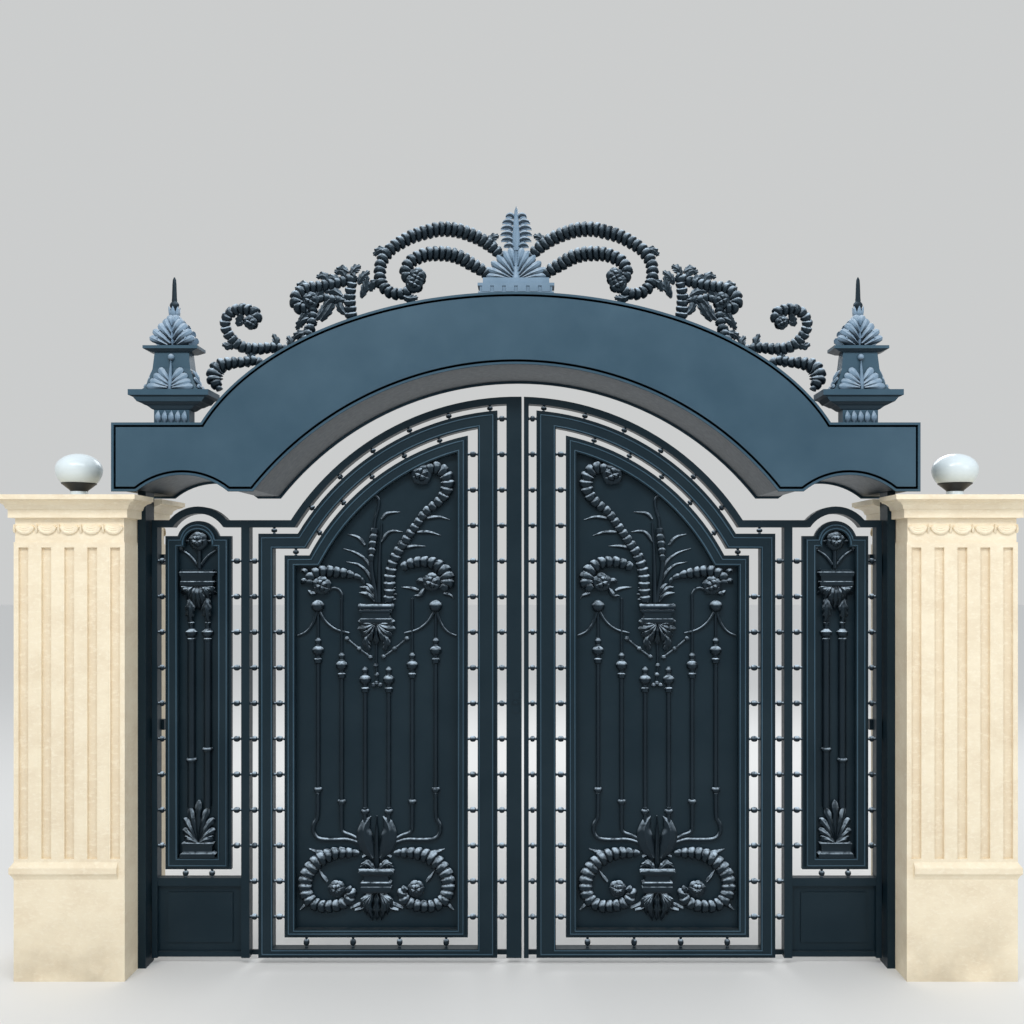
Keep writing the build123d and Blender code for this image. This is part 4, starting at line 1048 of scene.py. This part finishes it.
for shift, collarZ in sidePanel["columns"]:
    x = sideX + shift
    column = [(x, sheet - 0.007, 0.66), (x, sheet - 0.007, 1.372)]
    addRod(build, column, (sidePanel["columnRadius"], sidePanel["columnRadius"]), 2, 22)
    lathe(build, (x, sheet - 0.008, collarZ), [(a, b * 1.25) for a, b in footCollar], 18)
    lathe(build, (x, sheet - 0.009, 1.398), sidePanel["knop"], 20)
    lathe(build, (x, sheet - 0.010, 1.478), drop, 12)
    spine = [(x, sheet - 0.006, 1.555), (x, sheet - 0.022, 1.50), (x + shift * 0.1, sheet - 0.012, 1.44)]
    addLeaf(build, spine, 0.022, 0.016, lobes=4, relief=0.7, rows=20)
addBlock(build, sideX, sheet - 0.010, 0.452, 0.36, sidePanel["plinth"])
for index, reach in enumerate(sidePanel["fronds"]):
    angle = math.radians(-80 + 20 * index)
    base = Vector((sideX, sheet - 0.006, 0.510))
    way = Vector((math.sin(angle) * 0.72, 0, math.cos(angle)))
    spine = [base, base + way * (reach * 0.55) + Vector((0, -0.012, 0.01)),
             base + way * reach + Vector((0, -0.004, 0))]
    addLeaf(build, spine, 0.015, 0.013, frondShape, 3, rows=16)
sideMesh = meshFrom(build, "sideOrnament")
bothSides("sideOrnament", sideMesh, iron, leafBodies, ["side_ornament"])
print("side panels done")

# Pedestals keep their stepped body; a leaf with a bud is laid on each side, and small leaves on the neck
pedestal = {"place": 1.410, "depth": -0.150, "shoulder": 2.267, "bodyUp": 0.138, "share": 0.46,
            "top": 2.585,
            "outline": [(-0.01, 0.118), (0.010, 0.105), (0.049, 0.088), (0.090, 0.077), (0.156, 0.070),
                        (0.2, 0.070)],
            "front": [(0.010, 0.006, 0.094, 0.012), (0.008, 0.012, 0.083, 0.036),
                      (0.006, 0.022, 0.068, 0.062), (0.004, 0.036, 0.047, 0.088)],
            "end": [(0.004, 0.008, 0.036, 0.018), (0.003, 0.020, 0.030, 0.052),
                    (0.002, 0.036, 0.018, 0.084)],
            "bud": [(0.118, 0.004), (0.122, 0.009), (0.130, 0.0125), (0.138, 0.0125), (0.144, 0.008),
                    (0.147, 0.003)],
            "neckLeaves": 5, "neckPitch": 0.027}
frontAndBack, ends = ((0, -1, 0), (0, 1, 0)), ((1, 0, 0), (-1, 0, 0))
origin = Vector((pedestal["place"], pedestal["depth"], pedestal["shoulder"] + pedestal["bodyUp"]))
neck = Vector((pedestal["place"], pedestal["depth"], pedestal["shoulder"] + 0.004))


def bodyHalf(height):
    return blendTable(pedestal["outline"], height) + 0.001


def bodyFront(height):
    return pedestal["share"] * blendTable(pedestal["outline"], height) + 0.001


build = newBuild()
for facing in frontAndBack:
    addFan(build, origin, facing, pedestal["front"], 0.0145, 0.009, bodyFront)
    spear = [origin + Vector(facing) * (bodyFront(height) + lift) + Vector((0, 0, height))
             for height, lift in ((0.0, 0.002), (0.05, 0.006), (0.10, 0.006), (0.128, 0.004))]
    addLeaf(build, spear, 0.008, 0.009, bladeShape, facing=facing, rows=16, cols=3)
    lathe(build, origin + Vector(facing) * (bodyFront(0.13) + 0.004), pedestal["bud"], 16)
    for index in range(pedestal["neckLeaves"]):
        shift = Vector(((index - 2) * pedestal["neckPitch"], 0, 0))
        base = neck + shift + Vector(facing) * (pedestal["share"] * 0.072)
        spine = [base, base + Vector((0, 0, 0.026)) + Vector(facing) * 0.006, base + Vector((0, 0, 0.050))]
        addLeaf(build, spine, 0.011, 0.007, facing=facing, rows=10, cols=3)
for facing in ends:
    addFan(build, origin, facing, pedestal["end"], 0.010, 0.008, bodyHalf)
bothSides("pedestalLeaves", meshFrom(build, "pedestalLeaves"), cast, gatewayBodies)

# Finials: fans of upright fronds on a bud, a small collar of leaves and a long spike
finial = {"share": 0.62,
          "bud": [(0, 0.050), (0.014, 0.058), (0.044, 0.074), (0.070, 0.058), (0.100, 0.036),
                  (0.126, 0.018), (0.150, 0.012), (0.160, 0.012), (0.168, 0.018), (0.176, 0.020),
                  (0.184, 0.017), (0.190, 0.011)],
          "spike": [(0.196, 0.0115), (0.204, 0.0105), (0.262, 0.0085), (0.280, 0.0070), (0.291, 0.002)],
          "fronds": [(0.020, 0.004, 0.091, 0.036), (0.008, 0.010, 0.078, 0.066),
                     (0.004, 0.030, 0.056, 0.092), (0.003, 0.056, 0.034, 0.113),
                     (0.002, 0.084, 0.014, 0.130)],
          "collarLeaves": 6}
finialFoot = Vector((pedestal["place"], pedestal["depth"], pedestal["top"]))
budHalf = [(-0.01, 0.046)] + finial["bud"][:8] + [(0.3, 0.012)]
build = newBuild()
for facing in frontAndBack:
    addFan(build, finialFoot + Vector((0, 0, 0.002)), facing, finial["fronds"], 0.0150, 0.015,
           lambda height: 0.45 * finial["share"] * blendTable(budHalf, height))
    spine = []
    for height in (0.004, 0.05, 0.09, 0.13):
        out = 0.5 * finial["share"] * blendTable(budHalf, height)
        spine.append(finialFoot + Vector(facing) * out + Vector((0, 0, height)))
    addLeaf(build, spine, 0.006, 0.012, bladeShape, facing=facing, rows=14, cols=2)
for facing in ends:
    narrow = [(0.3 * a, b, 0.42 * c, d) for a, b, c, d in finial["fronds"]]
    addFan(build, finialFoot + Vector((0, 0, 0.002)), facing, narrow, 0.011, 0.009,
           lambda height: 0.75 * blendTable(budHalf, height))
for index in range(finial["collarLeaves"]):
    angle = math.radians(30 + 60 * index)
    way = Vector((math.cos(angle), math.sin(angle), 0))
    base = finialFoot + Vector((0, 0, 0.118))
    spine = [base + way * out + Vector((0, 0, height))
             for out, height in ((0.010, 0), (0.017, 0.026), (0.021, 0.050))]
    addLeaf(build, spine, 0.009, 0.006, side=Vector((0, 0, 1)).cross(way), rows=12, cols=3)
bothSides("finial", meshFrom(build, "finial"), cast, gatewayBodies, ["finial"])
build = newBuild()
lathe(build, finialFoot, finial["bud"] + finial["spike"], 24, share=0.5 * finial["share"])
bothSides("finialCore", meshFrom(build, "finialCore"), iron, gatewayBodies)
print("pedestals and finials done")

# Crest palmette: slotted base, fan of fronds, stout stem and a crown of level leaves
palmette = {"depth": -0.150, "crown": 2.797,
            "base": [(0.155, 0.040, -0.006, 0.010), (0.148, 0.036, 0.010, 0.034),
                     (0.157, 0.040, 0.034, 0.046), (0.136, 0.030, 0.046, 0.070)],
            "bars": 6, "barPitch": 0.0488,
            "fronds": [(0.030, 0.004, 0.124, 0.016), (0.022, 0.006, 0.118, 0.044),
                       (0.014, 0.010, 0.102, 0.074), (0.010, 0.018, 0.078, 0.100),
                       (0.008, 0.034, 0.050, 0.118), (0.006, 0.056, 0.026, 0.130)],
            "tiers": (0.052, 0.063, 0.066, 0.064, 0.058, 0.044), "tierPitch": 0.0245,
            "stem": [(0, 0.024), (0.03, 0.019), (0.06, 0.016), (0.12, 0.014), (0.128, 0.018),
                     (0.136, 0.018), (0.144, 0.014), (0.25, 0.011), (0.29, 0.007), (0.299, 0.003)]}
crest, crown = palmette["depth"], palmette["crown"]
low = crown + 0.066
build = newBuild()
for halfWidth, halfDepth, z0, z1 in palmette["base"]:
    addSlab(build, 0, crest, crown + z0, halfWidth, halfDepth, z1 - z0)
for index in range(palmette["bars"]):
    x = -0.122 + palmette["barPitch"] * index
    for depth in (-0.0385, 0.0385):
        addSlab(build, x, crest + depth, crown + 0.010, 0.017, 0.003, 0.024)
for facing in (-1, 1):
    addFan(build, (0, crest, low), (0, facing, 0), palmette["fronds"], 0.0135, 0.015, lambda height: 0.004)
    for tier, reach in enumerate(palmette["tiers"]):
        z = low + 0.140 + palmette["tierPitch"] * tier
        for side in (-1, 1):
            spine = [(side * 0.006, crest + facing * 0.004, z - 0.006),
                     (side * reach * 0.45, crest + facing * 0.014, z + 0.004),
                     (side * reach * 0.8, crest + facing * 0.012, z + 0.003),
                     (side * reach, crest + facing * 0.006, z - 0.004)]
            addLeaf(build, spine, 0.0078, 0.010, facing=(0, facing, 0), rows=14, cols=3)
    spine = [(0, crest + facing * out, low + height)
             for out, height in ((0.006, 0.12), (0.014, 0.21), (0.004, 0.302))]
    addLeaf(build, spine, 0.016, 0.012, bladeShape, facing=(0, facing, 0))
lathe(build, (0, crest, low), palmette["stem"], 18)
palmetteMesh = meshFrom(build, "crestPalmette")
addPiece("crestPalmette", palmetteMesh, cast, "gateway", ["crest_palmette"])

# Crest scrolls that stand over the header's ridge: places count from the middle and up from the ridge
curls = [([(50, 159), (110, 214), (183, 260), (288, 296), (373, 296), (465, 278), (540, 235), (562, 176),
           (545, 106), (485, 63), (425, 74)],
          (0.022, 0.027, 0.030, 0.031, 0.030, 0.028, 0.026, 0.026, 0.026, 0.025, 0.020)),
         ([(70, 64), (125, 101), (183, 140), (245, 179), (317, 199), (394, 200), (446, 173), (452, 129),
           (410, 103)], (0.020, 0.025, 0.029, 0.031, 0.031, 0.029, 0.027, 0.025, 0.020)),
         ([(672, -32), (684, 54), (684, 134), (668, 193)], (0.026, 0.026, 0.018)),
         ([(656, 184), (739, 185), (810, 200), (872, 215), (907, 198), (895, 156), (858, 132)],
          (0.020, 0.024, 0.027, 0.029, 0.028, 0.024)),
         ([(700, 112), (748, 120), (792, 146), (830, 150)], (0.010, 0.018, 0.018, 0.012)),
         ([(838, 128), (842, 72), (868, 0)], (0.020, 0.021, 0.024)),
         ([(915, -12), (1000, 51), (1071, 96), (1128, 150), (1173, 227), (1199, 302), (1194, 336),
           (1156, 327), (1109, 285), (1071, 234), (1085, 212)],
          (0.014, 0.024, 0.025, 0.024, 0.022, 0.022, 0.026, 0.026, 0.020)),
         ([(1040, -12), (1062, 34), (1142, 99), (1190, 141), (1232, 169), (1244, 139), (1222, 67)],
          (0.014, 0.020, 0.022, 0.027, 0.034, 0.034, 0.014))]
crestFlowers = [(420, 92, 0.038), (406, 118, 0.036), (846, 158, 0.036), (1094, 222, 0.028)]
sprays = [[(640, 90), (622, 130), (612, 176)], [(700, 40), (724, 76), (736, 122)],
          [(652, 150), (630, 176), (604, 190)], [(700, 190), (720, 226), (752, 236)],
          [(770, 196), (792, 236), (826, 246)], [(848, 214), (880, 240), (912, 236)],
          [(852, 90), (884, 92), (908, 70)], [(826, 70), (800, 90), (778, 128)],
          [(860, 30), (892, 44), (926, 40)], [(700, 100), (744, 118), (776, 112)],
          [(560, 140), (588, 132), (604, 104)], [(530, 250), (560, 262), (590, 250)],
          [(470, 52), (440, 34), (404, 34)], [(120, 216), (96, 244), (70, 252)],
          [(1150, 190), (1190, 214), (1212, 250)], [(1000, 30), (990, 70), (1004, 112)],
          [(1130, 296), (1142, 262), (1120, 252)], [(1110, 52), (1094, 88), (1100, 120)],
          [(1210, 150), (1240, 176), (1262, 210)], [(936, -2), (930, 34), (946, 66)],
          [(716, 124), (752, 158), (794, 172)], [(796, 106), (762, 128), (730, 96)],
          [(806, 56), (774, 88), (744, 130)], [(836, 150), (802, 182), (768, 196)],
          [(716, 176), (752, 210), (792, 224)], [(684, 196), (662, 218), (640, 222)],
          [(690, 212), (718, 234), (746, 226)], [(890, 96), (866, 120), (838, 118)],
          [(880, 26), (852, 52), (820, 60)]]


def overRidge(points):
    places = []
    for a, b in points:
        across = min(a / 1000 / header["outerHalf"], 1)
        ridge = header["outerCentre"] + header["sag"] * math.sqrt(1 - across ** 2)
        places.append((a / 1000, ridge + b / 1000))
    return places


hornMesh = scrollMesh([(overRidge(points), radii) for points, radii in curls], crest, "crestHorns",
                      flatten=0.82, pitch=0.0255, slant=0.3)
build = newBuild()
for a, b, radius in crestFlowers:
    x, z = overRidge([(a, b)])[0]
    for facing in (-1, 1):
        addRose(build, (x, crest + facing * 0.006, z), radius, 0.016, 5, 0.5, (0, facing, 0))
for spray in sprays:
    spine = [(x, crest, z) for x, z in overRidge(spray)]
    for facing in (-1, 1):
        addLeaf(build, spine, 0.019, 0.010, lobes=4, relief=0.7, facing=(0, facing, 0), rows=18)
crestMesh = joined("crestScrolls", hornMesh, meshFrom(build, "crestLeaves"))
bothSides("crestScrolls", crestMesh, iron, gatewayBodies, ["crest_scrolls"])
print("crest done")

# Swags on the pillar friezes, on the three faces away from the leaves: span, sag and radius of each strand
swags = {"strands": [(0.034, 0.030, 0.0080), (0.031, 0.020, 0.0068), (0.028, 0.011, 0.0055)], "count": 5,
         "pitch": 0.09, "pillar": 1.81, "face": 0.2235, "height": 1.850}
build = newBuild()
for span, sag, radius in swags["strands"]:
    turns = [math.radians(turn) for turn in (-80, -50, -25, 0, 25, 50, 80)]
    strand = [(span * math.sin(turn), 0, -sag * math.cos(turn)) for turn in turns]
    addRod(build, strand, (radius, radius), 20, 8)
addLeaf(build, [(0.0425, 0, 0.004), (0.0425, -0.004, -0.012), (0.0425, 0, -0.032)], 0.005, 0.006, dropShape,
        rows=10, cols=3)
swagPattern = meshFrom(build, "swagPattern")
spots = []
for index in range(swags["count"]):
    shift = (index - 2) * swags["pitch"]
    spots += [((swags["pillar"] + shift, -swags["face"], swags["height"]), (1, 0, 0), 1.0),
              ((swags["pillar"] + shift, swags["face"], swags["height"]), (-1, 0.001, 0), 1.0),
              ((swags["pillar"] + swags["face"] - 0.002, shift, swags["height"]), (0, 1, 0), 1.0)]
swagMesh = pointsMesh(spots, swagPattern, "festoons", masonry)
bothSides("festoons", swagMesh, masonry, gatewayBodies)
print("swags hung")

# Floor and sky: the sky seen is plain, the sky that lights is brighter
backdrop = {"floor": (0.76, 0.75, 0.73), "floorHalf": 40, "floorRoughness": 0.9, "sky": (0.60, 0.61, 0.61),
            "light": (0.92, 0.96, 1.0), "strength": 0.76}
edge = backdrop["floorHalf"]
corners = [(-edge, -edge, 0), (edge, -edge, 0), (edge, edge, 0), (-edge, edge, 0)]
floorMesh = bpy.data.meshes.new("floor")
floorMesh.from_pydata(corners, [], [(0, 1, 2, 3)])
floorLook = bpy.data.materials.new("floor")
floorLook.use_nodes = True
shader = floorLook.node_tree.nodes["Principled BSDF"]
shader.inputs["Base Color"].default_value = (*backdrop["floor"], 1)
shader.inputs["Roughness"].default_value = backdrop["floorRoughness"]
floorMesh.materials.append(floorLook)
floor = bpy.data.objects.new("floor", floorMesh)
bpy.context.scene.collection.objects.link(floor)

world = bpy.data.worlds.new("studio")
world.use_nodes = True
bpy.context.scene.world = world
tree = world.node_tree
background = tree.nodes["Background"]
path = addNode(tree, "ShaderNodeLightPath")
seen = addNode(tree, "ShaderNodeBackground")
seen.inputs["Color"].default_value = (*backdrop["sky"], 1)
background.inputs["Color"].default_value = (*backdrop["light"], 1)
background.inputs["Strength"].default_value = backdrop["strength"]
choice = addNode(tree, "ShaderNodeMixShader")
shown = mathNode(tree, "ADD", path.outputs["Is Camera Ray"], path.outputs["Is Glossy Ray"])
shown = mathNode(tree, "ADD", shown, path.outputs["Is Transmission Ray"], clamp=True)
for index, value in enumerate((shown, background.outputs[0], seen.outputs[0])):
    link(tree, value, choice.inputs[index])
link(tree, choice.outputs[0], tree.nodes["World Output"].inputs[0])

# Soft lamps: place, aim, size, power and colour
softLamps = {"key": ((-3.0, -5.5, 6.5), (0, 0, 1.4), (2.4, 1.4), 130, (1.0, 0.98, 0.95)),
             "top": ((0.4, -4.2, 6.2), (0, 0, 1.8), (5.6, 1.1), 170, (0.92, 0.96, 1.0)),
             "fill": ((5.0, -5.0, 3.2), (0, 0, 1.2), (2.6, 2.6), 60, (0.92, 0.96, 1.0)),
             "back": ((1.5, 6.0, 6.0), (0, 0, 1.6), (5.0, 3.0), 200, (0.95, 0.97, 1.0))}
for name, (place, aim, size, power, colour) in softLamps.items():
    data = bpy.data.lights.new(name, "AREA")
    data.shape = "RECTANGLE"
    data.size, data.size_y = size
    data.energy = power
    data.color = colour
    light = bpy.data.objects.new(name, data)
    light.location = place
    light.rotation_euler = (Vector(aim) - Vector(place)).to_track_quat("-Z", "Y").to_euler()
    bpy.context.scene.collection.objects.link(light)

camera = {"place": (0.098, -4.375, 1.685), "lens": 36.0, "sensor": 36.0, "shiftX": -0.0273, "shiftY": 0.0527}
view = bpy.data.cameras.new("camera")
view.lens = camera["lens"]
view.sensor_width = camera["sensor"]
view.shift_x = camera["shiftX"]
view.shift_y = camera["shiftY"]
eye = bpy.data.objects.new("camera", view)
eye.location = camera["place"]
eye.rotation_euler = (math.radians(90), 0, 0)
bpy.context.scene.collection.objects.link(eye)
bpy.context.scene.camera = eye
bpy.context.scene.view_settings.view_transform = "Standard"
print("stage ready")
